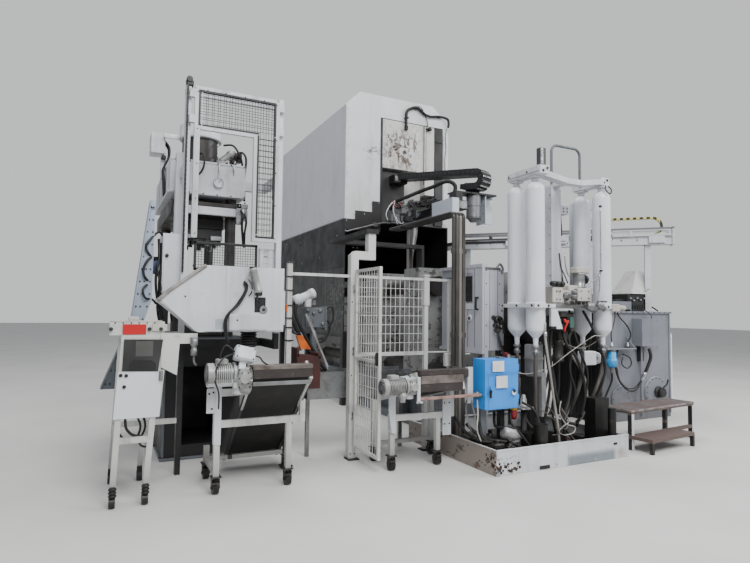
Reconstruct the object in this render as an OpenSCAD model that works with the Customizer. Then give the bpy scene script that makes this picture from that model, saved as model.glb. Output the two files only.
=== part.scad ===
// Cold chamber die casting cell: casting machine, shot end, oil tank, trim press and conveyors.
// Frame: X to the right along the shot end, Y along the casting machine, Z up, floor at zero.
// The origin is on the floor under the machine's long axis, at the fixed platen's front face.

/* [Machine bed and platens] */
// Height of the bed's top above the floor
bed_h = 550; // [400:10:700]
// Width of the bed
bed_w = 1600; // [1200:10:1800]
// Length of the bed behind the fixed platen's front face
bed_l = 5900; // [5400:10:6400]
// Width of the three platens
platen_w = 1900; // [1700:10:2000]
// Height of the three platens
platen_h = 1650; // [1450:10:1750]
// Thickness of the fixed platen
fixed_platen_t = 400; // [250:10:500]
// Thickness of the moving and rear platens
platen_t = 350; // [250:10:450]
// Free space for the die between the fixed and moving platens
die_space = 900; // [600:10:1100]
// Distance from the moving platen to the rear platen
toggle_space = 2300; // [1800:10:2500]
// Diameter of the tie bars
tie_bar_d = 180; // [120:5:220]
// Sideways spacing of the tie bars
tie_bar_dx = 1400; // [1100:10:1500]
// Upward spacing of the tie bars
tie_bar_dz = 1150; // [900:10:1250]
// Diameter of the closing cylinder
closing_cyl_d = 520; // [400:10:640]

/* [Housing and hood] */
// Width of the housing and of the hood on it
hood_w = 2130; // [2100:10:2200]
// Y of the front of the housing and the hood
hood_y = 2300; // [2150:10:2400]
// Length of the housing and the hood
hood_l = 3700; // [3300:10:3800]
// Height of the housing's open underside
housing_z = 1250; // [1000:10:1400]
// Height of the housing's top, which carries the hood
hood_z = 3200; // [2800:10:3400]
// Height of the hood
hood_h = 2280; // [2000:10:2400]
// Chamfer along the hood's left top edge
hood_chamfer = 260; // [150:10:350]
// Height of the sloping shoulder on the hood's right side
hood_shoulder = 500; // [300:10:600]
// Wall thickness of the housing
housing_t = 20; // [8:1:30]
// Width of the recess in the hood's front
bay_w = 1330; // [900:10:1400]
// Distance of that recess from the hood's left side
bay_x = 680; // [500:10:700]
// Depth of that recess
bay_d = 500; // [300:10:700]
// Top of that recess, down from the hood's top
bay_drop = 395; // [300:10:520]
// Clearance between the energy chain's end bracket and the panel above it
lift_gap = 125; // [60:5:200]

/* [Shot end] */
// Length of the shot frame in front of the fixed platen
shot_frame_l = 1000; // [800:10:1050]
// Diameter of the shot cylinder
shot_cyl_d = 340; // [260:10:400]
// Length of the shot cylinder
shot_cyl_l = 400; // [300:10:500]
// Diameter of the gas bottles
bottle_d = 206; // [160:2:230]
// Height of the bottles' lower tips
bottle_z0 = 1240; // [1150:10:1350]
// Height of the bottles' upper domes
bottle_z1 = 3060; // [2600:10:3200]
// Sideways spacing of the two rows of bottles
bottle_dx = 1030; // [900:10:1150]
// Y of the near pair of bottles
bottle_y = -1750; // [-1800:10:-1700]
// Distance from the near to the far pair
bottle_dy = 300; // [260:10:340]
// Height of the flange plates that hold the bottles
flange_z = 1665; // [1600:5:1750]
// Thickness of the flange plates
flange_t = 40; // [20:1:60]
// Thickness of the yoke's crossbars above the bottles
yoke_t = 92; // [60:5:150]
// Side of the square mast between the bottles
mast_s = 150; // [100:5:200]

/* [Drip tray] */
// X of the tray's left side
tray_x = -1260; // [-1400:10:-1200]
// Y of the tray's front side
tray_y = -2000; // [-2200:10:-1950]
// Width of the tray
tray_w = 1880; // [1700:10:1920]
// Depth of the tray
tray_l = 1700; // [1500:10:1720]
// Height of the tray's walls
tray_h = 245; // [150:5:300]
// Thickness of the tray's sheet
tray_t = 12; // [6:1:20]
// Width of the folded rim
tray_rim = 40; // [20:1:60]

/* [Guard and blue cabinet] */
// X of the guard's left face beside the shot end
guard_x = -660; // [-700:10:-640]
// Y of the guard's front
guard_y = -1050; // [-1080:10:-1000]
// Height of the guard's top
guard_z1 = 2150; // [2000:10:2190]
// Height of the guard's lower edge
guard_z0 = 1150; // [1000:10:1250]
// Width of the sliding door
slide_door_w = 490; // [400:10:500]
// Thickness of the sliding door
slide_door_t = 28; // [20:1:35]
// X of the blue cabinet's left side
cabinet_x = -1160; // [-1180:10:-1140]
// Y of the blue cabinet's front
cabinet_y = -1700; // [-1800:10:-1680]
// Width of the blue cabinet
cabinet_w = 440; // [380:10:450]
// Depth of the blue cabinet, with its door
cabinet_d = 210; // [180:5:240]
// Height of the blue cabinet
cabinet_h = 520; // [450:10:600]
// Height of the blue cabinet's underside
cabinet_z = 590; // [500:10:650]
// Thickness of the blue cabinet's door
cabinet_door_t = 22; // [15:1:30]

/* [Fence and gate] */
// Y of the fence's middle plane
fence_y = -800; // [-850:10:-780]
// X of the left fence post
fence_x0 = -3010; // [-3050:10:-2990]
// X of the duct post, which carries the gate
duct_x = -2280; // [-2300:10:-2200]
// X of the middle fence post
fence_x1 = -1340; // [-1350:10:-1300]
// X of the last fence post, inside the tray
fence_x2 = -990; // [-1020:10:-960]
// Height of the fence
fence_h = 2000; // [1800:10:2100]
// Height of the lower edge of the upper mesh
fence_mid = 1100; // [1000:10:1200]
// Side of the fence posts
fence_post = 50; // [40:1:60]
// Thickness of the mesh bars
mesh_bar = 6; // [4:1:10]
// Width of the gate leaf
gate_w = 590; // [500:10:640]
// Height of the gate's lower edge
gate_z0 = 140; // [80:5:200]
// Height of the gate's upper edge
gate_z1 = 2050; // [1800:10:2100]
// Side of the duct post's square tube
duct_s = 90; // [70:5:100]

/* [Oil tank, steps and gantry] */
// X of the tank's left side
tank_x = 1820; // [1780:10:1900]
// Y of the tank's front
tank_y = -570; // [-600:10:-500]
// Width of the tank
tank_w = 1560; // [1300:10:1600]
// Depth of the tank
tank_l = 950; // [800:10:1000]
// Height of the tank's top
tank_h = 1650; // [1400:10:1800]
// Wall thickness of the tank
tank_t = 12; // [6:1:20]
// X of the left side of the steps
step_x = 892; // [870:2:940]
// Y of the near left corner of the upper step
step_y = -1828; // [-1850:2:-1780]
// Turn of the steps against the machine
step_turn = 5.7; // [0:0.1:8]
// Width of the upper step
step_w = 1370; // [1200:10:1400]
// Height of the upper step
step_h = 460; // [400:10:600]
// Depth of each step
step_d = 400; // [250:10:450]
// Thickness of the step plates
step_t = 40; // [20:1:60]
// Length of the gantry beam
gantry_l = 3550; // [3200:10:3620]
// Height of the gantry beam's underside
gantry_z = 2760; // [2650:10:2800]
// Height of the gantry beam's section
gantry_h = 150; // [120:10:200]
// Width of the gantry beam's section
gantry_w = 200; // [140:10:240]
// Angle by which the gantry beam turns forward from the X axis
gantry_a = 45.5; // [42:0.1:47]

/* [Conveyors] */
// Width of the left conveyor's belt
belt_w1 = 500; // [400:10:540]
// Width of the right conveyor's belt
belt_w2 = 500; // [400:10:540]
// Length of the left conveyor between its rollers
belt_l1 = 1250; // [1000:10:1300]
// Length of the right conveyor between its rollers
belt_l2 = 720; // [600:10:740]
// Diameter of the conveyor rollers
roller_d = 150; // [100:5:180]
// Thickness of the belts
belt_t = 8; // [4:1:12]
// Slope of the left conveyor, down towards the back
belt_a1 = 42; // [38:0.5:44]
// Slope of the right conveyor, down towards the back
belt_a2 = 14; // [8:0.5:18]
// Height of the left conveyor's front roller
belt_z1 = 1030; // [1000:5:1100]
// Height of the right conveyor's front roller
belt_z2 = 890; // [800:5:950]
// Diameter of the conveyor casters
caster_d = 110; // [80:5:130]

/* [Trim press] */
// X of the trim press's middle
press_x = -3745; // [-3760:5:-3720]
// Y of the trim press's front
press_y = -100; // [-120:10:0]
// Width of the trim press
press_w = 810; // [760:10:840]
// Depth of the trim press
press_l = 1700; // [1500:10:1900]
// Height of the press table
table_z = 1300; // [1150:10:1400]
// Height of the crown's underside
crown_z = 2865; // [2700:5:2950]
// Height of the crown
crown_h = 380; // [300:10:450]
// Diameter of the press columns
press_col_d = 120; // [90:5:130]
// Height of the ram
ram_h = 150; // [120:10:200]
// Free travel of the ram
ram_travel = 500; // [300:10:600]
// Diameter of the ram's rod
ram_rod_d = 120; // [80:5:160]
// Diameter of the press cylinder
press_cyl_d = 400; // [300:10:440]
// Width of the press door
press_door_w = 870; // [800:10:900]
// Height of the press door
press_door_h = 1530; // [1400:10:1560]
// Height of the press door's lower edge, with the door up
press_door_z = 2310; // [2250:10:2350]
// Travel of the press door
press_door_travel = 1100; // [900:10:1150]
// Y of the press door's plane
press_door_y = -700; // [-720:5:-690]
// Height of the chute cover's lower edge
chute_z = 1390; // [1300:10:1450]
// Height of the chute cover
chute_h = 620; // [500:10:650]
// Depth of the chute cover
chute_d = 330; // [250:10:330]
// Length of the elevator, measured upwards
elevator_h = 1800; // [1700:25:2000]
// Width of the stand at the press's left side
stand_w = 290; // [260:10:320]
// Height of the stand
stand_h = 1380; // [1300:10:1420]

/* [Hidden] */
$fn = 64;

// Clearance of fixed pieces that pass through each other
fit_gap = 0.3;
// Clearance round moving pieces
run_gap = 6;

nut_l = 120;
axis_z = bed_h + platen_h / 2;
moving_y = fixed_platen_t + die_space;
rear_y = moving_y + platen_t + toggle_space;
housing_x = hood_w / 2;
housing_post = 100;
hood_back = hood_y + hood_l;
bay_x0 = bay_x - housing_x;
bay_z1 = hood_z + hood_h - bay_drop;
shot_plate_t = 80;
shot_plate_w = 800;
shot_plate_h = 600;
shot_y = -shot_frame_l;
manifold_w = bottle_dx - bottle_d - 120;
manifold_z0 = axis_z + shot_cyl_d / 2;
manifold_z1 = flange_z + flange_t + 140;
manifold_y0 = bottle_y - 40;
manifold_l = bottle_dy + 220;
yoke_z = bottle_z1 + 60;
neck_d = 60;
mast_y = bottle_y + bottle_dy + 20;
mast_x = 40;
mast_foot = 100;
guard_post = 50;
guard_sheet = 12;
door_rail_t = 40;
slide_door_x = guard_x - run_gap - slide_door_t;
gate_tube = 30;
gate_hinge_y = fence_y - duct_s / 2 - 25;
gate_hinge_x = duct_x;
gate_pin_d = 16;
ram_z = crown_z - 70 - ram_h;
column_dx = press_w - 250;
column_dy = press_l - 300;
door_tube = 55;
door_x = press_x - press_door_w * 0.293;
rail_w = 50;
rail_y = press_door_y + 20 + run_gap;
ram_x = press_x - 55;
ram_y = press_y + 300;
cyl_body_h = 295;
arm_x = 125;
arm_y = hood_y - 1680;
arm_z = hood_z;
arm_w = 160;
arm_h = 140;
unit_z = arm_z + 290;
carriage_y = hood_y + 100;
chain_end_z = unit_z + 420;
lift_panel_h = bay_z1 - chain_end_z - 150 - lift_gap;
pipe_d = 44;
pipe_x = -1045;
pipe_y = fence_y - 150;
duct_z = 2175;
duct_run = 210;
tray_z = 2470;
stand_x = -4660;
stand_y = -1400;
conveyor_x1 = press_x + 410;
conveyor_x2 = -1656;
chute_x1 = conveyor_x1 + 175;
chute_y = press_door_y - 400;
trough_x = duct_x - 470;
conveyor_y1 = -1560;
conveyor_y2 = -1560;

// Colours
white = [0.86, 0.86, 0.84];
lilac = [0.74, 0.73, 0.76];
steel = [0.55, 0.56, 0.57];
grey = [0.42, 0.44, 0.46];
dark = [0.17, 0.17, 0.18];
black = [0.07, 0.07, 0.07];
blue = [0.33, 0.66, 0.93];
pipe_brown = [0.36, 0.33, 0.30];

// Round bar from one point to another
module rod(a, b, d) {
    v = b - a;
    l = norm(v);
    yaw = atan2(v[1], v[0]);
    pitch = acos(v[2] / l);
    translate(a) rotate([0, pitch, yaw]) cylinder(h = l, d = d);
}

// Round bar along Y
module rod_y(x, y, z, l, d) {
    translate([x, y, z]) rotate([-90, 0, 0]) cylinder(h = l, d = d);
}

// Round bar along X
module rod_x(x, y, z, l, d) {
    translate([x, y, z]) rotate([0, 90, 0]) cylinder(h = l, d = d);
}

// Copies at the four tie bars
module at_tie_bars() {
    for (sx = [-1, 1], sz = [-1, 1])
        translate([sx * tie_bar_dx / 2, 0, axis_z + sz * tie_bar_dz / 2]) children();
}

module platen(y, t, bore) {
    difference() {
        translate([-platen_w / 2, y, bed_h]) cube([platen_w, t, platen_h]);
        at_tie_bars()
            translate([0, y - 1, 0]) rotate([-90, 0, 0])
                cylinder(h = t + 2, d = tie_bar_d + 2 * fit_gap);
        translate([0, y - 1, axis_z]) rotate([-90, 0, 0]) cylinder(h = t + 2, d = bore);
    }
}

// Low open tray that stands under the shot end and catches its oil
module drip_tray() {
    color(white) difference() {
        translate([tray_x, tray_y, 0]) cube([tray_w, tray_l, tray_h]);
        translate([tray_x + tray_t, tray_y + tray_t, tray_t])
            cube([tray_w - 2 * tray_t, tray_l - 2 * tray_t, tray_h - 2 * tray_t]);
        translate([tray_x + tray_rim, tray_y + tray_rim, tray_t])
            cube([tray_w - 2 * tray_rim, tray_l - 2 * tray_rim, tray_h]);
    }
}

// Welded bed with pockets along both sides
module machine_bed() {
    bays = 6;
    start = 250;
    l = bed_l + start;
    pitch = l / bays;
    color(grey) difference() {
        translate([-bed_w / 2, -start, 0]) cube([bed_w, l, bed_h]);
        for (i = [0:bays - 1], s = [-1, 1])
            translate([s * bed_w / 2 - 120, -start + i * pitch + 90, 110])
                cube([240, pitch - 180, bed_h - 220]);
    }
}

module fixed_platen() {
    color(steel) platen(0, fixed_platen_t, 260);
}

module moving_platen() {
    color(steel) platen(moving_y, platen_t, 200);
}

module rear_platen() {
    color(steel) platen(rear_y, platen_t, 300);
}

// Four bars that join the platens, with their nuts
module tie_bars() {
    l = rear_y + platen_t + 2 * nut_l;
    color([0.66, 0.67, 0.68]) at_tie_bars() {
        translate([0, -nut_l, 0]) rotate([-90, 0, 0]) cylinder(h = l, d = tie_bar_d);
        translate([0, -nut_l, 0]) rotate([-90, 0, 0]) cylinder(h = nut_l, d = tie_bar_d * 1.5);
        translate([0, rear_y + platen_t, 0]) rotate([-90, 0, 0])
            cylinder(h = nut_l, d = tie_bar_d * 1.5);
    }
}

module closing_cylinder() {
    y = rear_y + platen_t;
    l = hood_back - housing_post - 60 - y;
    color(grey) {
        rod_y(0, y, axis_z, l, closing_cyl_d);
        rod_y(0, y, axis_z, 70, closing_cyl_d + 160);
        rod_y(0, y + l - 90, axis_z, 90, closing_cyl_d + 90);
    }
}

// Legs and rails under the housing
module housing_frame() {
    x = housing_x - housing_post;
    color(dark) {
        for (s = [-1, 1], y = [hood_y, hood_y + hood_l / 2, hood_back - housing_post])
            translate([s > 0 ? x : -housing_x, y, 0])
                cube([housing_post, housing_post, housing_z]);
        for (s = [-1, 1])
            translate([s > 0 ? x : -housing_x, hood_y, housing_z - housing_post])
                cube([housing_post, hood_l, housing_post]);
        translate([-housing_x, hood_back - housing_post, housing_z - housing_post])
            cube([hood_w, housing_post, housing_post]);
    }
}

// Sheet covers round the closing unit, open at the front and below
module closing_housing() {
    color(dark) difference() {
        translate([-housing_x, hood_y, housing_z]) cube([hood_w, hood_l, hood_z - housing_z]);
        translate([-housing_x + housing_t, hood_y - 1, housing_z - 1])
            cube([hood_w - 2 * housing_t, hood_l - housing_t + 1, hood_z - housing_z - housing_t + 1]);
    }
}

// Outline of the hood's front, seen along Y
module hood_outline() {
    c = hood_chamfer;
    r = hood_shoulder;
    polygon([
        [-housing_x, 0], [housing_x, 0], [housing_x, hood_h - r],
        [housing_x - r * 0.37, hood_h - r * 0.28], [housing_x - r * 0.7, hood_h],
        [-housing_x + c, hood_h], [-housing_x, hood_h - c]
    ]);
}

module hood() {
    color(white) difference() {
        translate([0, hood_back, hood_z]) rotate([90, 0, 0])
            linear_extrude(hood_l) hood_outline();
        translate([bay_x0, hood_y - 1, hood_z - 1]) cube([bay_w, bay_d + 1, bay_z1 - hood_z + 1]);
    }
}

// Panels that close most of the hood's recess
module hood_panel() {
    gap = 30;
    w = bay_w * 0.69;
    side = bay_w * 0.15;
    low = bay_z1 - lift_panel_h * 1.45;
    color(white) {
        translate([bay_x0 + gap, hood_y, bay_z1 - lift_panel_h])
            cube([w, bay_d, lift_panel_h - fit_gap]);
        translate([bay_x0 + gap + w, hood_y + 20, low])
            cube([side, bay_d - 20, bay_z1 - low - fit_gap]);
        translate([bay_x0 + gap + w * 0.62, hood_y + 200, bay_z1 - lift_panel_h * 1.66])
            cube([w * 0.38 + 1, bay_d - 200, lift_panel_h * 0.66 + 1]);
    }
}

// Dark stepped covers over the hood's lower left corner
module hood_skirt() {
    t = 30;
    drop = 190;
    edge = [0, 0.29, 0.77, 1];
    top = [-15, 150, 345];
    color(grey) for (i = [0:2])
        translate([-housing_x + edge[i] * bay_x, hood_y - t, hood_z - drop])
            cube([(edge[i + 1] - edge[i]) * bay_x, t, drop + top[i]]);
}

// Arm that reaches forward from the hood's recess, with its carriage
module robot_arm() {
    color(dark) {
        translate([arm_x, arm_y, arm_z]) cube([arm_w, hood_y + bay_d - arm_y - fit_gap, arm_h]);
        translate([bay_x0 + 20, carriage_y, hood_z])
            cube([arm_x - bay_x0 + 20, bay_d - 100 - fit_gap, bay_z1 - lift_panel_h - 40 - hood_z]);
        translate([arm_x + 20, arm_y + 80, arm_z + arm_h - 1]) cube([120, 200, unit_z - arm_z - arm_h + 1]);
        translate([arm_x + 20, arm_y + 80, unit_z]) cube([785, 260, 20]);
    }
}

// Energy chain of separate links from the carriage to the unit at the arm's end
module energy_chain() {
    w = 250;
    t = 105;
    r = 115;
    l = 1640;
    pitch = 92;
    n = round(l / pitch);
    m = round(180 * r * PI / 180 / pitch);
    color(black) {
        translate([570, arm_y + 80, unit_z + 232]) rotate([0, 6.4, -70.8])
            rotate([90, 0, 0]) translate([0, 0, -w / 2]) linear_extrude(w) {
                difference() {
                    union() {
                        translate([-l, 0]) square([l, r + t / 2 - 12]);
                        translate([-260, -r - t / 2 + 12]) square([260, r + t / 2]);
                        circle(r + t / 2 - 12);
                    }
                    circle(r - t / 2 + 12);
                    translate([-l - 1, -r + t / 2 - 12]) square([l + 1, 2 * r - t + 24]);
                }
                for (i = [0:n - 1]) translate([-(i + 1) * pitch + 4, r - t / 2]) square([pitch - 8, t]);
                for (i = [0:1]) translate([-(i + 1) * pitch + 4, -r - t / 2]) square([pitch - 8, t]);
                for (i = [0:m - 1]) rotate(90 - (i + 0.5) * 180 / m)
                    translate([r - t / 2, -pitch / 2 + 4]) square([t, pitch - 8]);
            }
        translate([-150, carriage_y - 200, chain_end_z]) cube([270, 200, 150]);
        translate([470, arm_y + 130, unit_z + 20]) cube([160, 160, 110]);
    }
}

// Unit below the arm's end, trunk beside the arm, and valve block
module spray_head() {
    color(steel) {
        translate([560, arm_y + 200, unit_z - 374]) cylinder(h = 374, d = 230);
        translate([560, arm_y + 200, unit_z - 434]) cylinder(h = 60, d1 = 110, d2 = 200);
        translate([arm_x - 440, hood_y - 600, arm_z + 30]) cube([280, 250, 190]);
        translate([arm_x - 160, hood_y - 520, arm_z + 50]) cube([160, 90, 70]);
    }
    color(white) {
        translate([717, arm_y + 90, unit_z - 460]) cube([12, 230, 460]);
        translate([717, arm_y + 320, unit_z - 460]) cube([203, 12, 460]);
        translate([arm_x - 123, arm_y - 20, arm_z - 63]) cube([123, 585, 232]);
    }
}

// Frame that carries the shot cylinder in front of the fixed platen
module shot_frame() {
    color(grey) difference() {
        union() {
            translate([-shot_plate_w / 2, shot_y, axis_z - shot_plate_h / 2])
                cube([shot_plate_w, shot_plate_t, shot_plate_h]);
            for (s = [-1, 1])
                translate([s * (shot_plate_w / 2 - 35) - 35, shot_y, axis_z - 200])
                    cube([70, shot_frame_l, 400]);
        }
        translate([0, shot_y - 1, axis_z]) rotate([-90, 0, 0])
            cylinder(h = shot_plate_t + 2, d = 130);
    }
}

module shot_cylinder() {
    y0 = shot_y - shot_cyl_l;
    leg_w = 240;
    color(grey) {
        rod_y(0, y0, axis_z, shot_cyl_l, shot_cyl_d);
        rod_y(0, shot_y - 70, axis_z, 70, shot_cyl_d + 120);
        rod_y(0, y0, axis_z, 170, shot_cyl_d + 60);
    }
    color(steel) rod_y(0, shot_y, axis_z, shot_frame_l - 60, 120);
    color(grey) translate([-leg_w / 2, y0 + 180, tray_t])
        cube([leg_w, 160, axis_z - shot_cyl_d / 2 - tray_t + 20]);
}

// Valve block on the shot cylinder
module manifold() {
    back = manifold_y0 + manifold_l;
    foot = mast_s + 60;
    color([0.62, 0.62, 0.60]) difference() {
        union() {
            translate([-manifold_w / 2, manifold_y0, flange_z]) cube([manifold_w, manifold_l, flange_t]);
            translate([-foot / 2, back - 110, axis_z + 40]) cube([foot, 110, flange_z + 1 - axis_z - 40]);
            translate([mast_x - foot / 2, mast_y - mast_s / 2 - 10, flange_z + flange_t - 1])
                cube([foot, back - mast_y + mast_s / 2 + 10, manifold_z1 - flange_z - flange_t + 1]);
            translate([-290, manifold_y0 + 10, flange_z + flange_t - 1]) cube([150, 200, 196]);
            translate([110, manifold_y0 + 10, flange_z + flange_t - 1]) cube([205, 170, 190]);
        }
        translate([0, back - 111, axis_z]) rotate([-90, 0, 0])
            cylinder(h = 112, d = shot_cyl_d + 60 + 2 * fit_gap);
    }
    color(white) translate([0, manifold_y0 + 30, 0]) rotate([90, 0, 0]) linear_extrude(30) polygon([
        [-325, flange_z + 1], [-325, flange_z - 235], [-155, flange_z - 235], [-245, flange_z + 1]
    ]);
}

// Plates at both sides of the valve block, which hold the bottles
module flange_plates() {
    w = bottle_d + 60;
    color(white) for (s = [-1, 1]) difference() {
        translate([
            s > 0 ? manifold_w / 2 : -bottle_dx / 2 - w / 2, bottle_y - w / 2, flange_z
        ])
            cube([bottle_dx / 2 + w / 2 - manifold_w / 2, bottle_dy + w, flange_t]);
        for (y = [bottle_y, bottle_y + bottle_dy])
            translate([s * bottle_dx / 2, y, flange_z - 1])
                cylinder(h = flange_t + 2, d = bottle_d + 2 * fit_gap);
    }
}

// Gas bottle with a domed top, a neck, and a tapered lower tip
module bottle() {
    r = bottle_d / 2;
    tip_h = 110;
    rotate_extrude() polygon(concat(
        [[0, bottle_z0], [26, bottle_z0], [30, bottle_z0 + tip_h - 20], [r * 0.5, bottle_z0 + tip_h + 5]],
        [[r * 0.8, bottle_z0 + tip_h + 40], [r * 0.95, bottle_z0 + tip_h + 64], [r, bottle_z0 + tip_h + 95]],
        [for (a = [0:8:72]) [r * cos(a), bottle_z1 - r + r * sin(a)]],
        [[neck_d / 2, bottle_z1 - r * 0.04], [neck_d / 2, yoke_z], [0, yoke_z]]
    ));
}

module bottle_row(side) {
    for (y = [bottle_y, bottle_y + bottle_dy])
        translate([side * bottle_dx / 2, y, 0]) bottle();
}

module left_bottles() {
    color(white) bottle_row(-1);
}

module right_bottles() {
    color(white) bottle_row(1);
}

// Crossbars over the bottles, joined by a bridge that dips in the middle
module yoke() {
    bar_w = 130;
    overhang = 150;
    y0 = bottle_y - overhang;
    x = bottle_dx / 2 - bar_w / 2;
    color(white) {
        for (b = [[-1, overhang], [1, overhang * 0.4]])
            translate([b[0] * bottle_dx / 2 - bar_w / 2, bottle_y - b[1], yoke_z])
                cube([bar_w, bottle_dy + b[1] + 90, yoke_t]);
        translate([0, y0 + 190, yoke_z]) rotate([90, 0, 0]) linear_extrude(110) polygon([
            [-x - 40, 0], [-x + 40, 0], [-x * 0.2, -45], [x * 0.3, -45], [x - 40, 0], [x + 40, 0], [x + 40, 70],
            [x, 70], [x * 0.3, 15], [-x * 0.2, 15], [-x, 70], [-x - 40, 70]
        ]);
        translate([mast_x - mast_s / 2 + 20, y0 + 80, yoke_z - 10]) cube([mast_s - 40, mast_y - y0, 26]);
    }
    color(grey) translate([-bottle_dx / 2 - 25, y0 + 40, yoke_z + yoke_t]) cube([80, 60, 200]);
}

// Square mast between the bottles, with its brackets
module mast() {
    z0 = manifold_z1 + mast_foot;
    color(lilac) translate([mast_x - mast_s / 2, mast_y - mast_s / 2, z0])
        cube([mast_s, mast_s, yoke_z - 10 - z0]);
    color(lilac) translate([mast_x - mast_s / 2 - 30, mast_y - mast_s / 2 - 10, manifold_z1])
        cube([mast_s + 60, mast_s + 20, mast_foot]);
    color(white) for (z = [yoke_z - 690, yoke_z - 320])
        translate([mast_x + mast_s / 2, mast_y - 50, z]) cube([150, 100, 100]);
}

// Tube arch behind the yoke
module ladder_hoop() {
    w = 480;
    r = 90;
    d = 34;
    x = mast_x + 135;
    y = mast_y + mast_s / 2 + 60;
    z0 = manifold_z1;
    z1 = yoke_z + 580;
    color(grey) translate([x, y, 0]) {
        for (s = [0, 1]) translate([s * w, 0, z0]) cylinder(h = z1 - r - z0, d = d);
        translate([r, 0, z1]) rotate([0, 90, 0]) cylinder(h = w - 2 * r, d = d);
        for (s = [0, 1]) translate([r + s * (w - 2 * r), 0, z1 - r]) rotate([90, 0, 0])
            rotate([0, 0, 90 - s * 90]) rotate_extrude(angle = 90) translate([r, 0]) circle(d = d);
        translate([mast_x - mast_s / 2 - 30 - x, -48, z0])
            cube([x - mast_x + mast_s / 2 + 30 + w + d, 48 + d / 2, 20]);
    }
}

// Pumps and filters that stand in the tray
module pump_set() {
    color(grey) {
        translate([-560, -1870, tray_t]) cylinder(h = 420, d = 150);
        translate([-560, -1700, tray_t]) cylinder(h = 300, d = 190);
        translate([330, -1800, tray_t]) cube([220, 160, 620]);
    }
    color(blue) translate([480, -1900, tray_t]) cylinder(h = 520, d = 90);
}

// Posts and panels that screen the shot end's left side
module shot_guard() {
    h = guard_z1 - guard_z0;
    y1 = -nut_l - 10;
    color(lilac) {
        for (y = [guard_y, -420])
            translate([guard_x, y, tray_t]) cube([guard_post, guard_post, guard_z0 - tray_t]);
        translate([guard_x, guard_y, guard_z0]) cube([guard_sheet, y1 - guard_y, h]);
        translate([guard_x, guard_y, guard_z0])
            cube([-shot_plate_w / 2 - 20 - guard_x, guard_sheet, h]);
        for (z = [guard_z0 - door_rail_t, guard_z1])
            translate([slide_door_x - run_gap, guard_y, z])
                cube([guard_x - slide_door_x + run_gap + guard_post, y1 - guard_y, door_rail_t]);
    }
}

module safety_door() {
    color(lilac) difference() {
        translate([slide_door_x, guard_y, guard_z0 + fit_gap])
            cube([slide_door_t, slide_door_w, guard_z1 - guard_z0 - 2 * fit_gap]);
        translate([slide_door_x - 1, guard_y + 200, guard_z0 + 560])
            cube([9, 180, 380]);
    }
    color(black) {
        for (z = [guard_z0 + 480, guard_z0 + 620])
            translate([slide_door_x - 35, guard_y + 70, z]) cube([35, 20, 20]);
        translate([slide_door_x - 45, guard_y + 70, guard_z0 + 480]) cube([12, 20, 160]);
    }
}

// Upright pipes that turn back to the robot arm
module pipe_bundle() {
    z1 = 2790;
    r = 60;
    pitch = pipe_d + 4;
    clamp_y = fixed_platen_t - 100;
    color(pipe_brown) for (i = [0:3]) {
        x = pipe_x + i * pitch;
        translate([x, pipe_y, tray_t]) cylinder(h = z1 - r - tray_t, d = pipe_d);
        translate([x, pipe_y + r, z1 - r]) rotate([90, 0, 90]) rotate([0, 0, 90])
            rotate_extrude(angle = 90) translate([r, 0]) circle(d = pipe_d);
        rod_y(x, pipe_y + r, z1, 1540, pipe_d);
    }
    color(dark) {
        for (z = [1300, 2300]) translate([pipe_x - 30, pipe_y - 15, z]) cube([4 * pitch + 12, 30, 60]);
        translate([-platen_w / 2 + 15, clamp_y, bed_h + platen_h]) cube([60, 60, z1 - bed_h - platen_h]);
        translate([pipe_x - 30, clamp_y, z1 - 30]) cube([4 * pitch + 12, 60, 30]);
    }
}

module fence_frame() {
    p = fence_post;
    color(white) {
        translate([fence_x0 - p / 2, fence_y - p / 2, 0]) cube([p, p, fence_h + 100]);
        translate([fence_x1 - p / 2, fence_y - p / 2, 0]) cube([p, p, fence_h]);
        translate([fence_x1 - p * 0.7, fence_y - p * 0.7, fence_h - 320])
            cube([p * 1.4, p * 1.4, 360]);
        translate([fence_x2 - p / 2, fence_y - p / 2, tray_t]) cube([p, p, fence_h - tray_t]);
        translate([fence_x0, fence_y - 15, fence_h - 30])
            cube([duct_x - duct_s / 2 - fence_x0, 30, 30]);
        translate([duct_x + duct_s / 2, fence_y - 15, fence_h - 30])
            cube([fence_x2 - duct_x - duct_s / 2, 30, 30]);
        translate([duct_x + duct_s / 2, fence_y - 15, fence_mid])
            cube([fence_x1 - duct_x - duct_s / 2, 30, 40]);
    }
}

// Grid of flat bars in the plane of X and Z, with its lower left corner at the origin
module grid(w, h, dx, dz, t) {
    nx = max(1, round(w / dx));
    nz = max(1, round(h / dz));
    for (i = [1:nx - 1]) translate([i * w / nx - t / 2, 0, 0]) cube([t, t, h]);
    for (i = [1:nz - 1]) translate([0, 0, i * h / nz - t / 2]) cube([w, t, t]);
}

module fence_mesh() {
    x0 = duct_x + duct_s / 2;
    x1 = fence_x1 - fence_post * 0.7;
    z0 = fence_mid + 40;
    color(white) translate([x0, fence_y - mesh_bar / 2, z0])
        grid(x1 - x0, fence_h - 30 - z0, 62, 110, mesh_bar);
}

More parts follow.
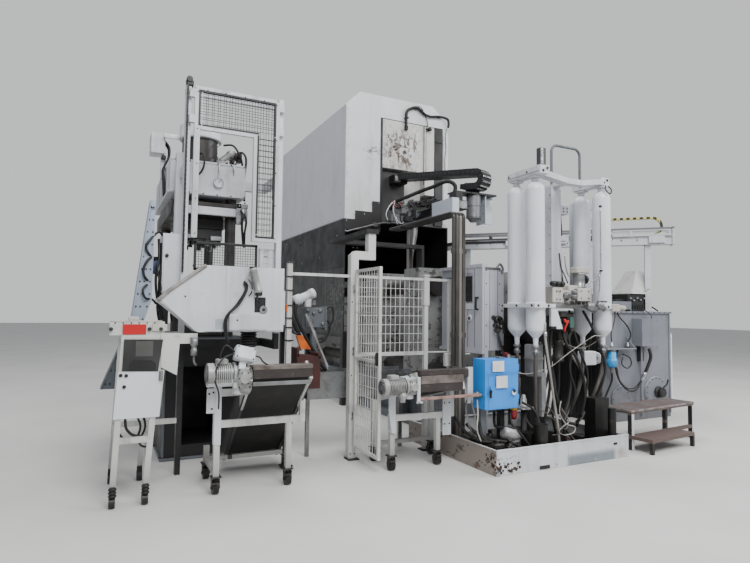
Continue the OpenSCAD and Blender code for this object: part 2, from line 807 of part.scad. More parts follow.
// White square duct that bends to the cable tray
module duct_post() {
    s = duct_s;
    color(white) {
        translate([duct_x - s / 2, fence_y - s / 2, 0]) cube([s, s, duct_z + s - 40]);
        translate([0, fence_y + s / 2, duct_z]) rotate([90, 0, 0]) linear_extrude(s) polygon([
            [duct_x - s / 2, 0], [duct_x + duct_run + s / 2, 0], [duct_x + duct_run + s / 2, s],
            [duct_x - s / 2 + 50, s], [duct_x - s / 2, s - 50]
        ]);
        translate([duct_x - s / 2 + duct_run, fence_y - s / 2, duct_z]) cube([s, s, tray_z - duct_z]);
    }
    color(steel) for (z = [gate_z0 + 180, gate_z1 - 260]) {
        translate([gate_hinge_x - 12, fence_y - s / 2 - 30, z]) cube([24, 30, 50]);
        translate([gate_hinge_x, gate_hinge_y, z]) cylinder(h = 120, d = gate_pin_d);
    }
}

// Cable tray from the duct to a post on the fixed platen
module cable_tray() {
    x = duct_x + duct_run - duct_s / 2;
    w = 150;
    h = 50;
    post_x = -platen_w / 2 + 110;
    color(grey) {
        translate([x - 30, fence_y - 60, tray_z]) cube([w, 1120, h]);
        translate([x - 30, fence_y + 910, tray_z]) cube([post_x + 70 - x, w, h]);
        translate([post_x, fence_y + 910, bed_h + platen_h])
            cube([40, w, tray_z - bed_h - platen_h]);
    }
}

// Gate leaf of square tube and mesh, standing open towards the front
module mesh_gate() {
    t = gate_tube;
    x0 = gate_hinge_x - t / 2;
    y1 = gate_hinge_y - 20;
    h = gate_z1 - gate_z0;
    mid = (gate_z0 + gate_z1) / 2;
    color(white) {
        for (y = [y1 - t, y1 - gate_w])
            translate([x0, y, gate_z0]) cube([t, t, h]);
        for (z = [gate_z0, mid - t / 2, gate_z1 - t])
            translate([x0, y1 - gate_w, z]) cube([t, gate_w, t]);
        translate([gate_hinge_x + mesh_bar / 2, y1 - gate_w + t, gate_z0 + t]) rotate([0, 0, 90])
            grid(gate_w - 2 * t, h - 2 * t, 62, 110, mesh_bar);
    }
    color(steel) for (z = [gate_z0 + 232, gate_z1 - 208]) difference() {
        union() {
            translate([gate_hinge_x, gate_hinge_y, z]) cylinder(h = 60, d = 30);
            translate([gate_hinge_x - 10, y1 - 5, z]) cube([20, 20, 60]);
        }
        translate([gate_hinge_x, gate_hinge_y, z - 1]) cylinder(h = 62, d = gate_pin_d + 0.1);
    }
}

module cabinet_body() {
    y = cabinet_y + cabinet_door_t + 2;
    color(blue) difference() {
        translate([cabinet_x, y, cabinet_z])
            cube([cabinet_w, cabinet_d - cabinet_door_t - 2, cabinet_h]);
        translate([cabinet_x + 30, y - 1, cabinet_z + 30])
            cube([cabinet_w - 60, cabinet_d - cabinet_door_t - 30, cabinet_h - 60]);
    }
    color(steel) for (z = [cabinet_z + 60, cabinet_z + cabinet_h - 140]) {
        translate([cabinet_x + cabinet_w + 12, cabinet_y + cabinet_door_t / 2, z])
            cylinder(h = 80, d = 10);
        translate([cabinet_x + cabinet_w, y, z]) cube([24, 14, 30]);
        translate([cabinet_x + cabinet_w + 7, cabinet_y + cabinet_door_t / 2, z])
            cube([10, 20, 30]);
    }
}

module cabinet_door() {
    t = cabinet_door_t;
    x1 = cabinet_x + cabinet_w;
    color(blue) translate([cabinet_x, cabinet_y, cabinet_z]) cube([cabinet_w, t, cabinet_h]);
    color(steel) for (z = [cabinet_z + 91, cabinet_z + cabinet_h - 109]) difference() {
        union() {
            translate([x1 + 12, cabinet_y + t / 2, z]) cylinder(h = 48, d = 20);
            translate([x1 - 1, cabinet_y + t / 2 - 5, z]) cube([12, 10, 48]);
        }
        translate([x1 + 12, cabinet_y + t / 2, z - 1]) cylinder(h = 50, d = 10.1);
    }
    color(black) translate([cabinet_x + 60, cabinet_y - 20, cabinet_z + 170])
        cube([18, 20, 70]);
    color(steel) translate([x1 - 50, cabinet_y, cabinet_z + 200]) rotate([90, 0, 0])
        cylinder(h = 14, d = 36);
}

module cabinet_stand() {
    x = cabinet_x + 60;
    y = cabinet_y + cabinet_d - 60;
    color(dark) {
        translate([x, y, tray_t]) cube([60, 60, cabinet_z - tray_t]);
        translate([x + cabinet_w - 180, y, tray_t]) cube([60, 60, cabinet_z - tray_t]);
    }
}

module oil_tank() {
    color(grey) difference() {
        translate([tank_x, tank_y, 0]) cube([tank_w, tank_l, tank_h - 30]);
        translate([tank_x + tank_t, tank_y + tank_t, tank_t])
            cube([tank_w - 2 * tank_t, tank_l - 2 * tank_t, tank_h]);
    }
}

module tank_lid() {
    o = 25;
    color(grey) {
        translate([tank_x - o, tank_y - o, tank_h - 30]) cube([tank_w + 2 * o, tank_l + 2 * o, 30]);
        translate([tank_x + 250, tank_y + 300, tank_h]) cylinder(h = 220, d = 260);
        translate([tank_x + 700, tank_y + 350, tank_h]) cube([420, 320, 160]);
    }
}

// Switch box on the tank's front
module tank_box() {
    color(grey) translate([tank_x + 685, tank_y - 180, tank_h - 520]) cube([365, 180, 410]);
    color(steel) translate([tank_x + 810, tank_y - 60, 60]) cylinder(h = tank_h - 580, d = 40);
}

// Pressure and return pipes from the tank to the fixed platen
module tank_pipes() {
    color(steel) for (z = [0, 110])
        rod_x(platen_w / 2, fixed_platen_t / 2, axis_z + z, tank_x - platen_w / 2, 60);
}

// Two step plates on legs in front of the tank
module steps() {
    low_h = step_h * 0.37;
    low_w = step_w * 0.65;
    low_d = step_d * 0.65;
    color(dark) translate([step_x, step_y, 0]) rotate([0, 0, step_turn]) {
        translate([0, 0, step_h - step_t]) cube([step_w, step_d, step_t]);
        for (x = [0, step_w - 50], y = [0, step_d - 50])
            translate([x, y, 0]) cube([50, 50, step_h - step_t]);
        translate([0, -low_d, low_h - step_t]) cube([low_w, low_d, step_t]);
        for (x = [0, low_w - 40])
            translate([x, -low_d, 0]) cube([40, 40, low_h - step_t]);
        translate([0, 0, low_h - step_t]) cube([step_w, 40, step_t]);
    }
}

// Copies in the gantry beam's own frame, from its left end beside the housing
module on_gantry() {
    translate([housing_x + 45, hood_y - 240, gantry_z]) rotate([0, 0, -gantry_a]) children();
}

module gantry_beam() {
    color(white) on_gantry() {
        translate([0, -gantry_w / 2, 0]) cube([gantry_l, gantry_w, gantry_h]);
        translate([gantry_l, -gantry_w / 2 - 40, -15]) cube([30, gantry_w + 80, gantry_h + 145]);
        for (y = [-gantry_w / 2, gantry_w / 2 - 30]) {
            translate([0, y, gantry_h - 1]) cube([gantry_l + 1, 30, 26]);
            translate([0, y, gantry_h + 80]) cube([gantry_l + 1, 30, 50]);
            for (i = [0:6])
                translate([20 + i * (gantry_l - 70) / 6, y + 2, gantry_h]) cube([40, 26, 90]);
        }
    }
    color(white) translate([housing_x, hood_y - 310, gantry_z]) cube([20, 510, gantry_h]);
}

module gantry_columns() {
    w = 90;
    color(white) on_gantry() for (c = [[160, 0], [gantry_l - 400, tank_h]])
        translate([c[0], -w / 2, c[1] - gantry_z]) {
            cube([w, w, gantry_z - c[1]]);
            translate([-30, -30, 0]) cube([w + 60, w + 60, 15]);
        }
}

// Striped energy chain on the gantry
module gantry_chain() {
    r = 160;
    t = 35;
    l = 900;
    w = 60;
    color([0.75, 0.68, 0.2]) on_gantry()
        translate([gantry_l - 120 - r, w / 2, gantry_h + r]) rotate([90, 0, 0])
            linear_extrude(w) difference() {
                union() {
                    circle(r);
                    translate([-l, -r]) square([l, 2 * r]);
                }
                circle(r - t);
                translate([-l - 1, -r + t]) square([l + 1, 2 * (r - t)]);
            }
}

// Copies in a conveyor's own frame: origin at the front roller, Y along the belt
module on_conveyor(x, y, z, a) {
    translate([x, y, z]) rotate([-a, 0, 0]) children();
}

module belt_outline(l, d) {
    circle(d = d);
    translate([l, 0]) circle(d = d);
    translate([0, -d / 2]) square([l, d]);
}

module belt(l, w) {
    pitch = 190;
    rotate([0, 0, 90]) rotate([90, 0, 0]) translate([0, 0, -w / 2]) linear_extrude(w)
        difference() {
            belt_outline(l, roller_d + 2 * belt_t);
            belt_outline(l, roller_d + 2 * fit_gap);
        }
    for (v = [60:pitch:l])
        translate([-w / 2, v, roller_d / 2 + belt_t - 1]) cube([w, 12, 45]);
}

// Side plates, rollers and legs on casters, the front right leg set inwards
module conveyor_frame(x, y, z, a, l, w, left, inner, track) {
    side = 30;
    plate_h = 190;
    leg = 50;
    c = caster_d;
    v0 = 180;
    low = plate_h / 2 / cos(a);
    right = w / 2 + 37;
    bar_z = z * 0.55;
    on_conveyor(x, y, z, a) {
        for (s = [-1, 1])
            translate([s > 0 ? w / 2 + 6 : -w / 2 - 6 - side, -60, -plate_h / 2])
                cube([side, l + 120, plate_h]);
        for (v = [0, l])
            translate([-w / 2 - 7, v, 0]) rotate([0, 90, 0]) cylinder(h = w + 14, d = roller_d);
    }
    for (p = [[-left, v0], [inner, v0], [-left, v0 + track], [right, v0 + track]]) {
        px = x + p[0];
        py = y + p[1];
        top = p[0] == inner ? bar_z : max(z - p[1] * tan(a) - low, c + 60);
        translate([px - leg / 2, py - leg / 2, c + 40]) cube([leg, leg, top - c - 40]);
        translate([px - 40, py - 40, c + 28]) cube([80, 80, 12]);
        for (t = [-1, 1])
            translate([px + t * 30 - 5, py - leg / 2, c / 2 - 10]) cube([10, leg, c / 2 + 40]);
        translate([px - leg / 2, py, c / 2]) rotate([0, 90, 0]) cylinder(h = leg, d = c);
    }
    translate([x + right - leg / 2, y + v0 - leg / 2, bar_z])
        cube([leg, leg, z - v0 * tan(a) - low + 30 - bar_z]);
    translate([x - left - leg / 2, y + v0 - 20, bar_z]) cube([left + right + leg, 40, 60]);
    translate([x - left - leg / 2, y + v0 - 20, z - v0 * tan(a) - 30])
        cube([left - w / 2 - 18 + leg / 2, 40, 60]);
    translate([x - left - leg / 2, y + v0 - leg / 2, bar_z])
        cube([leg, leg, z - v0 * tan(a) + 34 - bar_z]);
    translate([x - left - 20, y + v0, c + 50]) cube([40, track, 40]);
    translate([x - left, y + v0 + track - 20, c + 50]) cube([left + right, 40, 40]);
}

module conveyor_frames() {
    color(white) {
        conveyor_frame(conveyor_x1, conveyor_y1, belt_z1, belt_a1, belt_l1, belt_w1, 491, 158, 480);
        conveyor_frame(conveyor_x2, conveyor_y2, belt_z2, belt_a2, belt_l2, belt_w2, 434, 113, 400);
    }
}

module conveyor_belts() {
    color(black) {
        on_conveyor(conveyor_x1, conveyor_y1, belt_z1, belt_a1) belt(belt_l1, belt_w1);
        on_conveyor(conveyor_x2, conveyor_y2, belt_z2, belt_a2) belt(belt_l2, belt_w2);
    }
}

// Geared motor at the left end of a front roller
module drive(w) {
    x = -w / 2 - 36;
    translate([x - 120, -60, -90]) cube([120, 130, 150]);
    translate([x - 60, 5, -90]) rotate([180, 0, 0]) cylinder(h = 60, d = 110);
    translate([x - 330, 5, -20]) rotate([0, 90, 0]) cylinder(h = 210, d = 130);
}

module conveyor_drives() {
    color(white) {
        translate([conveyor_x1, conveyor_y1, belt_z1]) drive(belt_w1);
        translate([conveyor_x2, conveyor_y2, belt_z2]) drive(belt_w2);
    }
}

// Open trough that leads from the die space to the right conveyor
module transfer_trough() {
    x0 = trough_x;
    x1 = trough_x + 1290;
    y0 = fence_y + 110;
    w = 320;
    t = 12;
    z0 = 640;
    z1 = 930;
    color(steel) {
        difference() {
            translate([x0, y0, z0]) cube([x1 - x0, w, z1 - z0]);
            translate([x0 - 1, y0 + t, z0 + t]) cube([x1 - x0 + 2, w - 2 * t, z1 - z0]);
        }
        for (x = [x0 + 40, x1 - 80]) translate([x, y0 + w / 2 - 20, 0]) cube([40, 40, z0]);
        translate([duct_x - 20, fence_y + duct_s / 2, z0 + 60])
            cube([40, y0 - fence_y - duct_s / 2, 60]);
    }
}

// Copies at the four press columns
module at_press_columns() {
    for (sx = [-1, 1], sy = [-1, 1])
        translate([
            press_x + sx * column_dx / 2, press_y + press_l / 2 + sy * column_dy / 2, 0
        ]) children();
}

module press_base() {
    top_t = 120;
    color(grey) {
        difference() {
            translate([press_x - press_w / 2, press_y, 0]) cube([press_w, press_l, table_z - top_t]);
            translate([press_x - press_w / 2 + 200, press_y - 1, 150])
                cube([press_w - 400, press_l / 2, table_z - top_t - 350]);
        }
        translate([press_x - press_w / 2 - 20, press_y - 20, table_z - top_t])
            cube([press_w + 40, press_l + 40, top_t]);
    }
}

module press_columns() {
    color([0.66, 0.67, 0.68]) at_press_columns()
        translate([0, 0, table_z]) cylinder(h = crown_z - table_z, d = press_col_d);
}

module press_crown() {
    color(white) difference() {
        translate([press_x - press_w / 2, press_y, crown_z]) cube([press_w, press_l, crown_h]);
        translate([ram_x, ram_y, crown_z - 1]) cylinder(h = crown_h + 2, d = ram_rod_d + 1);
    }
}

// Cylinder on the crown, with a cap
module press_cylinder() {
    z = crown_z + crown_h;
    color(grey) difference() {
        translate([ram_x, ram_y, z]) union() {
            cylinder(h = cyl_body_h, d = press_cyl_d);
            cylinder(h = 60, d = press_cyl_d + 80);
        }
        translate([ram_x, ram_y, z - 1]) cylinder(h = cyl_body_h - 29, d = ram_rod_d + 1);
    }
    color(white) translate([ram_x, ram_y, z + cyl_body_h]) cylinder(h = 160, d = press_cyl_d + 60);
}

// Ram between the columns, with its rod
module press_ram() {
    g = press_col_d / 2 + 8;
    color(steel) {
        difference() {
            translate([press_x - press_w / 2 + 20, press_y + 30, ram_z])
                cube([press_w - 40, press_l - 60, ram_h]);
            at_press_columns() translate([0, 0, ram_z - 1]) cylinder(h = ram_h + 2, r = g);
        }
        translate([ram_x, ram_y, ram_z + ram_h])
            cylinder(h = crown_z + crown_h + cyl_body_h - 45 - ram_z - ram_h, d = ram_rod_d);
    }
}

// Flag-shaped door frame with mesh, raised on its rails
module press_door() {
    t = door_tube;
    w = press_door_w;
    h = press_door_h;
    leg = 270;
    band = 440;
    c = 40;
    color(white) translate([door_x, press_door_y + 20, press_door_z]) rotate([90, 0, 0])
        linear_extrude(40) difference() {
            polygon([[0, 0], [w, 0], [w, h - c], [w - c, h], [0, h]]);
            translate([t, -1]) square([w - leg - t, h - band + 1]);
            polygon([
                [t, h - band + t], [w - leg + t, h - band + t], [w - leg + t, t], [w - t, t],
                [w - t, h - t], [t, h - t]
            ]);
        }
    color(steel) for (x = [door_x - 50, door_x + w - 10], z = [press_door_z + h - 380, press_door_z + h - 120])
        translate([x, press_door_y - 20, z]) cube([60, 40 + run_gap - fit_gap, 80]);
    color(dark) translate([door_x, press_door_y - 2, press_door_z]) {
        translate([t, 0, h - band + t]) grid(w - 2 * t, band - 2 * t, 60, 60, 4);
        translate([w - leg + t, 0, t]) grid(leg - 2 * t, h - band, 60, 60, 4);
    }
}

// Rails of the press door, with brackets to the press
module door_rails() {
    d = 80;
    top = press_door_z + press_door_h + 30;
    left = door_x - rail_w - 30;
    right = door_x + press_door_w + 5;
    low = table_z - 110;
    side = press_x + press_w / 2;
    color(white) {
        translate([left, rail_y, 0]) cube([rail_w, d, top]);
        translate([right, rail_y, low]) cube([rail_w, d, top - low]);
        translate([left, rail_y + d, top - 85]) cube([right + rail_w - left, 40, 50]);
        translate([left, rail_y + d, crown_z + 100]) cube([rail_w, 254, 100]);
        translate([left, rail_y + d, low]) cube([rail_w, press_y - rail_y - d - 20, 90]);
        translate([right, rail_y + d, crown_z + 100]) cube([rail_w, press_y - rail_y - d + 80, 100]);
        translate([side, press_y, crown_z + 100]) cube([right - side, 80, 100]);
        translate([right, rail_y + d, low]) cube([rail_w, press_y - rail_y - d + 60, 90]);
        translate([side + 20, press_y - 20, low]) cube([right - side - 20, 80, 90]);
    }
}

// Hollow cover over the left conveyor, open below and behind, with a slanting left side
module chute_hood() {
    t = 12;
    x = chute_x1;
    z1 = chute_z + chute_h;
    tip = chute_z + chute_h * 0.47;
    right = door_x + press_door_w + 5;
    color(white) {
        difference() {
            translate([0, chute_y + chute_d, 0]) rotate([90, 0, 0]) linear_extrude(chute_d) polygon([
                [x - 740, z1], [x - 1160, tip], [x - 810, chute_z], [x, chute_z], [x, z1]
            ]);
            translate([0, chute_y + chute_d + 1, 0]) rotate([90, 0, 0])
                linear_extrude(chute_d + 1 - t) polygon([
                    [x - 745, z1 - t], [x - 1138, tip + 4], [x - 794, chute_z - 1],
                    [x - t, chute_z - 1], [x - t, z1 - t]
                ]);
            translate([x - 290, chute_y - 1, chute_z + 185]) cube([110, t + 2, 150]);
        }
        translate([x - 530, chute_y - 60, chute_z + 10]) cube([355, 60, 160]);
        translate([door_x - rail_w - 30, chute_y + chute_d, chute_z + 60])
            cube([rail_w, rail_y - chute_y - chute_d, 350]);
        translate([x, chute_y + chute_d - 100, chute_z + 60]) cube([right - x + rail_w, 60, 350]);
        translate([right, chute_y + chute_d - 50, chute_z + 60])
            cube([rail_w, rail_y - chute_y - chute_d + 50, 350]);
    }
}

// Control box and column at the press's left, and a small box above them
module press_boxes() {
    left = press_x - press_w / 2;
    box_y = rail_y + 80;
    box_z = table_z + 460;
    box_h = 585;
    post_x = left + 35;
    top = crown_z + crown_h;
    color(white) {
        translate([left - 95, box_y, box_z]) cube([200, 360, box_h]);
        translate([post_x, box_y + 254, box_z + box_h]) cube([130, 100, top - box_z - box_h]);
        translate([post_x + 20, box_y + 354, crown_z + 60]) cube([60, press_y - box_y - 354, 100]);
        translate([left - 170, press_y + 450, top + 160]) cube([150, 260, 220]);
        translate([left - 50, press_y + 540, top - 125]) cube([50, 100, 300]);
    }
}

// Leaning belt elevator at the press's left side
module elevator() {
    x = stand_x;
    z = stand_h + 70;
    top = 850 + elevator_h;
    color([0.45, 0.52, 0.60]) translate([0, stand_y + 955, 0]) rotate([90, 0, 0])
        linear_extrude(210) polygon([
            [x - 90, top - elevator_h], [x + 60, top - elevator_h], [x + 325, z + 230],
            [x + 332, top], [x + 285, top], [x + 150, z + 40]
        ]);
}

// Stand on feet, its legs leaning to the press, that holds the elevator
module stand_frame() {
    p = 45;
    w = stand_w;
    x = stand_x;
    lean = 85;
    depth = 745;
    mid = 500;
    bar_x = x + w + lean * 0.4 - p;
    color(white) {
        for (y = [stand_y, stand_y + depth - p]) {
            translate([0, y + p, 0]) rotate([90, 0, 0]) linear_extrude(p) {
                polygon([[x, 110], [x + p, 110], [x + 50 + p, stand_h], [x + 50, stand_h]]);
                polygon([
                    [x + w - p, 110], [x + w, 110], [x + w + lean, stand_h], [x + w + lean - p, stand_h]
                ]);
            }
            translate([x + 20, y, mid]) cube([w, p, p]);
            translate([x + 50, y, stand_h - p]) cube([w + lean - 50, p, p]);
            for (dx = [0, w - p]) {
                translate([x + dx, y, p]) rotate([0, 90, 0]) cylinder(h = p, d = 2 * p);
                translate([x + dx, y - 10, 80]) cube([p, 60, 31]);
            }
        }
        for (dx = [20, w - 25]) translate([x + dx, stand_y, mid]) cube([p, depth, p]);
        for (dx = [50, w + lean - p]) translate([x + dx, stand_y, stand_h - p]) cube([p, depth, p]);
        translate([x + w, stand_y + depth - p, mid]) cube([door_x - rail_w - 30 - x - w, p, p]);
        translate([x + w + lean - p, stand_y + depth - p, stand_h - p])
            cube([door_x - rail_w - 30 - x - w - lean + p, p, p]);
    }
}

// Panel and top beam of the stand, and the bracket beside it
module stand_panel() {
    x = stand_x;
    w = stand_w;
    color(white) {
        translate([0, stand_y, 0]) rotate([90, 0, 0]) linear_extrude(12) polygon([
            [x + 8, stand_h * 0.51], [x + w + 67, stand_h * 0.51],
            [x + w + 96, stand_h * 0.79], [x + 33, stand_h * 0.79]
        ]);
        translate([x - 40, stand_y + 20, stand_h]) cube([w + 130, 110, 110]);
        translate([0, stand_y, 0]) rotate([90, 0, 0]) linear_extrude(12) polygon([
            [x + w + 60, stand_h + 15], [x + w + 214, stand_h + 15], [x + w + 195, 1040], [x + w + 70, 1110]
        ]);
        translate([x + w + 86, stand_y, stand_h - 75]) cube([270, 45, 85]);
    }
    color([0.6, 0.15, 0.1]) translate([x + 55, stand_y + 8, stand_h + 5]) cube([180, 12, 85]);
}

drip_tray();
machine_bed();
fixed_platen();
moving_platen();
rear_platen();
tie_bars();
closing_cylinder();
housing_frame();
closing_housing();
hood();
hood_panel();
hood_skirt();
robot_arm();
energy_chain();
spray_head();
shot_frame();
shot_cylinder();
manifold();
flange_plates();
left_bottles();
right_bottles();
yoke();
mast();
ladder_hoop();
pump_set();
shot_guard();
safety_door();
pipe_bundle();
fence_frame();
fence_mesh();
duct_post();
cable_tray();
mesh_gate();
cabinet_body();
cabinet_door();
cabinet_stand();
oil_tank();
tank_lid();
tank_box();
tank_pipes();
steps();
gantry_beam();
gantry_columns();
gantry_chain();
conveyor_frames();
conveyor_belts();
conveyor_drives();
transfer_trough();
press_base();
press_columns();
press_crown();
press_cylinder();
press_ram();
press_door();
door_rails();
chute_hood();
press_boxes();
elevator();
stand_frame();
stand_panel();
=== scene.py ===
import math
import random

import bpy
from mathutils import Matrix, Vector


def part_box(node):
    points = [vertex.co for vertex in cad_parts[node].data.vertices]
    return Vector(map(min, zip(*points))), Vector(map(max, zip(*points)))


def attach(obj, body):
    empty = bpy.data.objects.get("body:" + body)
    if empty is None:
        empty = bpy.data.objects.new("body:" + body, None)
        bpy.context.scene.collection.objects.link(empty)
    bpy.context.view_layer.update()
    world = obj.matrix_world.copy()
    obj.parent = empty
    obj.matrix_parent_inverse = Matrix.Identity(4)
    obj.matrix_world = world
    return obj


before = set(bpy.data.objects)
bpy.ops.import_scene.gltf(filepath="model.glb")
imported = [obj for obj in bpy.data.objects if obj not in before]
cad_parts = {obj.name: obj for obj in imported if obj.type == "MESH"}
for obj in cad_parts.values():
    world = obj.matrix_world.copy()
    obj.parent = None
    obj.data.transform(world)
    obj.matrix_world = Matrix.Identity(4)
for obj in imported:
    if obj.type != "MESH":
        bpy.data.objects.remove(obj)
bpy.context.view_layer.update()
scene = bpy.context.scene

# Camera at the photograph's viewing angle, in metres
PHOTO_WIDTH = 750
FOCAL_PIXELS = 548.2
SENSOR_WIDTH = 36
EYE = (-4.7688, -6.3383, 1.6)
EYE_RIGHT = Vector((0.89462, -0.44667, 0.01234))
EYE_UP = Vector((-0.03535, -0.0432, 0.99844))
EYE_BACK = Vector((-0.44544, -0.89366, -0.05443))
camera_data = bpy.data.cameras.new("camera")
camera_data.sensor_fit = "HORIZONTAL"
camera_data.sensor_width = SENSOR_WIDTH
camera_data.lens = SENSOR_WIDTH * FOCAL_PIXELS / PHOTO_WIDTH
camera_data.clip_end = 200
camera = bpy.data.objects.new("camera", camera_data)
scene.collection.objects.link(camera)
turned = Matrix((EYE_RIGHT, EYE_UP, EYE_BACK)).transposed().to_4x4()
camera.matrix_world = Matrix.Translation(EYE) @ turned
scene.camera = camera


# Materials
def linear(color):
    """The linear value of a colour that is written as it looks."""
    return tuple(v / 12.92 if v <= 0.04045 else ((v + 0.055) / 1.055) ** 2.4 for v in color)


class Coat:
    """A node material in object coordinates, which are the frame's own metres."""

    def __init__(self, name, color, rough=0.5, metal=0.0, specular=0.5):
        self.material = bpy.data.materials.new(name)
        self.material.use_nodes = True
        self.tree = self.material.node_tree
        self.tree.nodes.clear()
        self.out = self.node("ShaderNodeOutputMaterial")
        self.shader = self.node("ShaderNodeBsdfPrincipled")
        self.link(self.shader.outputs[0], self.out.inputs[0])
        self.shader.inputs["Roughness"].default_value = rough
        self.shader.inputs["Metallic"].default_value = metal
        self.shader.inputs["Specular IOR Level"].default_value = specular
        self.position = self.node("ShaderNodeTexCoord").outputs["Object"]
        self.color = self.node("ShaderNodeRGB").outputs[0]
        self.color.default_value = (*linear(color), 1)
        self.rough = None

    def node(self, kind, **properties):
        node = self.tree.nodes.new(kind)
        for key, value in properties.items():
            setattr(node, key, value)
        return node

    def link(self, source, target):
        self.tree.links.new(source, target)

    def noise(self, scale, detail=4, rough=0.55):
        """Noise with one scale, or one for each axis."""
        scaled = self.node("ShaderNodeVectorMath", operation="MULTIPLY")
        self.link(self.position, scaled.inputs[0])
        scaled.inputs[1].default_value = scale if hasattr(scale, "__len__") else (scale,) * 3
        noise = self.node("ShaderNodeTexNoise")
        self.link(scaled.outputs[0], noise.inputs["Vector"])
        noise.inputs["Scale"].default_value = 1
        noise.inputs["Detail"].default_value = detail
        noise.inputs["Roughness"].default_value = rough
        return noise.outputs[0]

    def ramp(self, value, low, high, start=0.0, end=1.0):
        """Map low..high to start..end, held at both ends."""
        node = self.node("ShaderNodeMapRange", clamp=True)
        self.link(value, node.inputs[0])
        for i, number in enumerate((low, high, start, end)):
            node.inputs[i + 1].default_value = number
        return node.outputs[0]

    def math(self, operation, a, b=None):
        node = self.node("ShaderNodeMath", operation=operation)
        self.link(a, node.inputs[0])
        if isinstance(b, (int, float)):
            node.inputs[1].default_value = b
        elif b is not None:
            self.link(b, node.inputs[1])
        return node.outputs[0]

    def axis(self, i):
        node = self.node("ShaderNodeSeparateXYZ")
        self.link(self.position, node.inputs[0])
        return node.outputs[i]

    def mix(self, mask, color):
        node = self.node("ShaderNodeMix", data_type="RGBA")
        self.link(mask, node.inputs[0])
        self.link(self.color, node.inputs[6])
        node.inputs[7].default_value = (*linear(color), 1)
        self.color = node.outputs[2]
        return self

    def vary(self, color, scale, low=0.4, high=0.7, amount=1.0):
        """Drift towards the colour where the noise is high."""
        return self.mix(self.ramp(self.noise(scale), low, high, 0, amount), color)

    def inside(self, box, soft=0.1):
        """1 inside the box (x0, x1, y0, y1, z0, z1), fading over soft."""
        mask = None
        for i in range(3):
            low, high = box[2 * i], box[2 * i + 1]
            rise = self.ramp(self.axis(i), low - soft, low + soft)
            fall = self.ramp(self.axis(i), high + soft, high - soft)
            slab = self.math("MULTIPLY", rise, fall)
            mask = slab if mask is None else self.math("MULTIPLY", mask, slab)
        return mask

    def patch(self, box, soft, color, amount=None):
        """Paint the colour inside the box."""
        mask = self.inside(box, soft)
        return self.mix(mask if amount is None else self.math("MULTIPLY", mask, amount), color)

    def fade(self, axis, low, high, color, amount=1.0):
        """Fade to the colour from low to high along an axis."""
        return self.mix(self.ramp(self.axis(axis), low, high, 0, amount), color)

    def spots(self, color, scale, level, mask=None, amount=1.0, detail=8):
        """Crisp spots of the colour, within the mask."""
        spot = self.ramp(self.noise(scale, detail, 0.7), level, level + 0.03, 0, amount)
        return self.mix(spot if mask is None else self.math("MULTIPLY", spot, mask), color)

    def bump(self, scale, depth, detail=3):
        node = self.node("ShaderNodeBump")
        node.inputs["Distance"].default_value = depth
        self.link(self.noise(scale, detail), node.inputs["Height"])
        self.link(node.outputs[0], self.shader.inputs["Normal"])
        return self

    def shine(self, low, high, scale=4):
        """Let the roughness drift from low to high."""
        self.rough = self.ramp(self.noise(scale), 0.3, 0.7, low, high)
        return self

    def done(self):
        self.link(self.color, self.shader.inputs["Base Color"])
        if self.rough is not None:
            self.link(self.rough, self.shader.inputs["Roughness"])
        return self.material


def painted(name, color, shade, dirt, rough=0.45, streak=0.5, grime=0.5):
    """Factory paint: soft colour drift, dirt that runs down, and grime."""
    coat = Coat(name, color, rough)
    coat.vary(shade, 1.3, 0.35, 0.75)
    coat.mix(coat.ramp(coat.noise((9, 9, 0.7), 5), 0.5, 0.78, 0, streak), dirt)
    coat.mix(coat.ramp(coat.noise(5, 8, 0.7), 0.56, 0.72, 0, grime), dirt)
    coat.shine(rough - 0.1, rough + 0.15)
    return coat


def plain(name, color, rough, shade, scale):
    """One colour that drifts towards its shade."""
    return Coat(name, color, rough).vary(shade, scale).done()


# Axes of a fade
X, Z = 0, 2

# Colour, shade, dirt, roughness, streaks and grime
MACHINE_WHITE = ((0.82, 0.835, 0.85), (0.75, 0.76, 0.775), (0.5, 0.48, 0.455), 0.45, 0.4, 0.35)


def piping(name):
    """Brown pipe with streaks along it."""
    coat = Coat(name, (0.36, 0.345, 0.33), 0.4, 0.3).vary((0.22, 0.2, 0.185), (8, 8, 2))
    return coat.vary((0.52, 0.5, 0.47), (14, 14, 1), 0.58, 0.72)


coat = painted("hood_white", (0.84, 0.85, 0.86), (0.78, 0.79, 0.80), (0.62, 0.6, 0.575), 0.42, 0.28, 0.2)
# Painted shade: the left side face is a cooler, darker white.
coat.fade(X, -1.06, -1.066, (0.755, 0.765, 0.80))
coat.spots((0.17, 0.1, 0.08), (8, 8, 12), 0.5, coat.inside((-0.66, -0.44, 2, 2.4, 4.36, 4.54), 0.09))
coat.spots((0.4, 0.3, 0.25), (14, 14, 7), 0.62, coat.inside((-1.1, -0.95, 2.2, 2.6, 3.4, 4.9), 0.1), 0.8)
coat.mix(coat.ramp(coat.noise((6, 6, 1.2), 6), 0.5, 0.75, 0, 0.35), (0.66, 0.61, 0.55))
for x in (-0.355, 0.355):
    coat.patch((x - 0.004, x + 0.004, 5.995, 6.01, 3.2, 5.3), 0.001, (0.2, 0.2, 0.2))
coat.patch((-1.1, 1.1, 5.995, 6.01, 5.3, 5.308), 0.001, (0.2, 0.2, 0.2))
hood_white = coat.done()

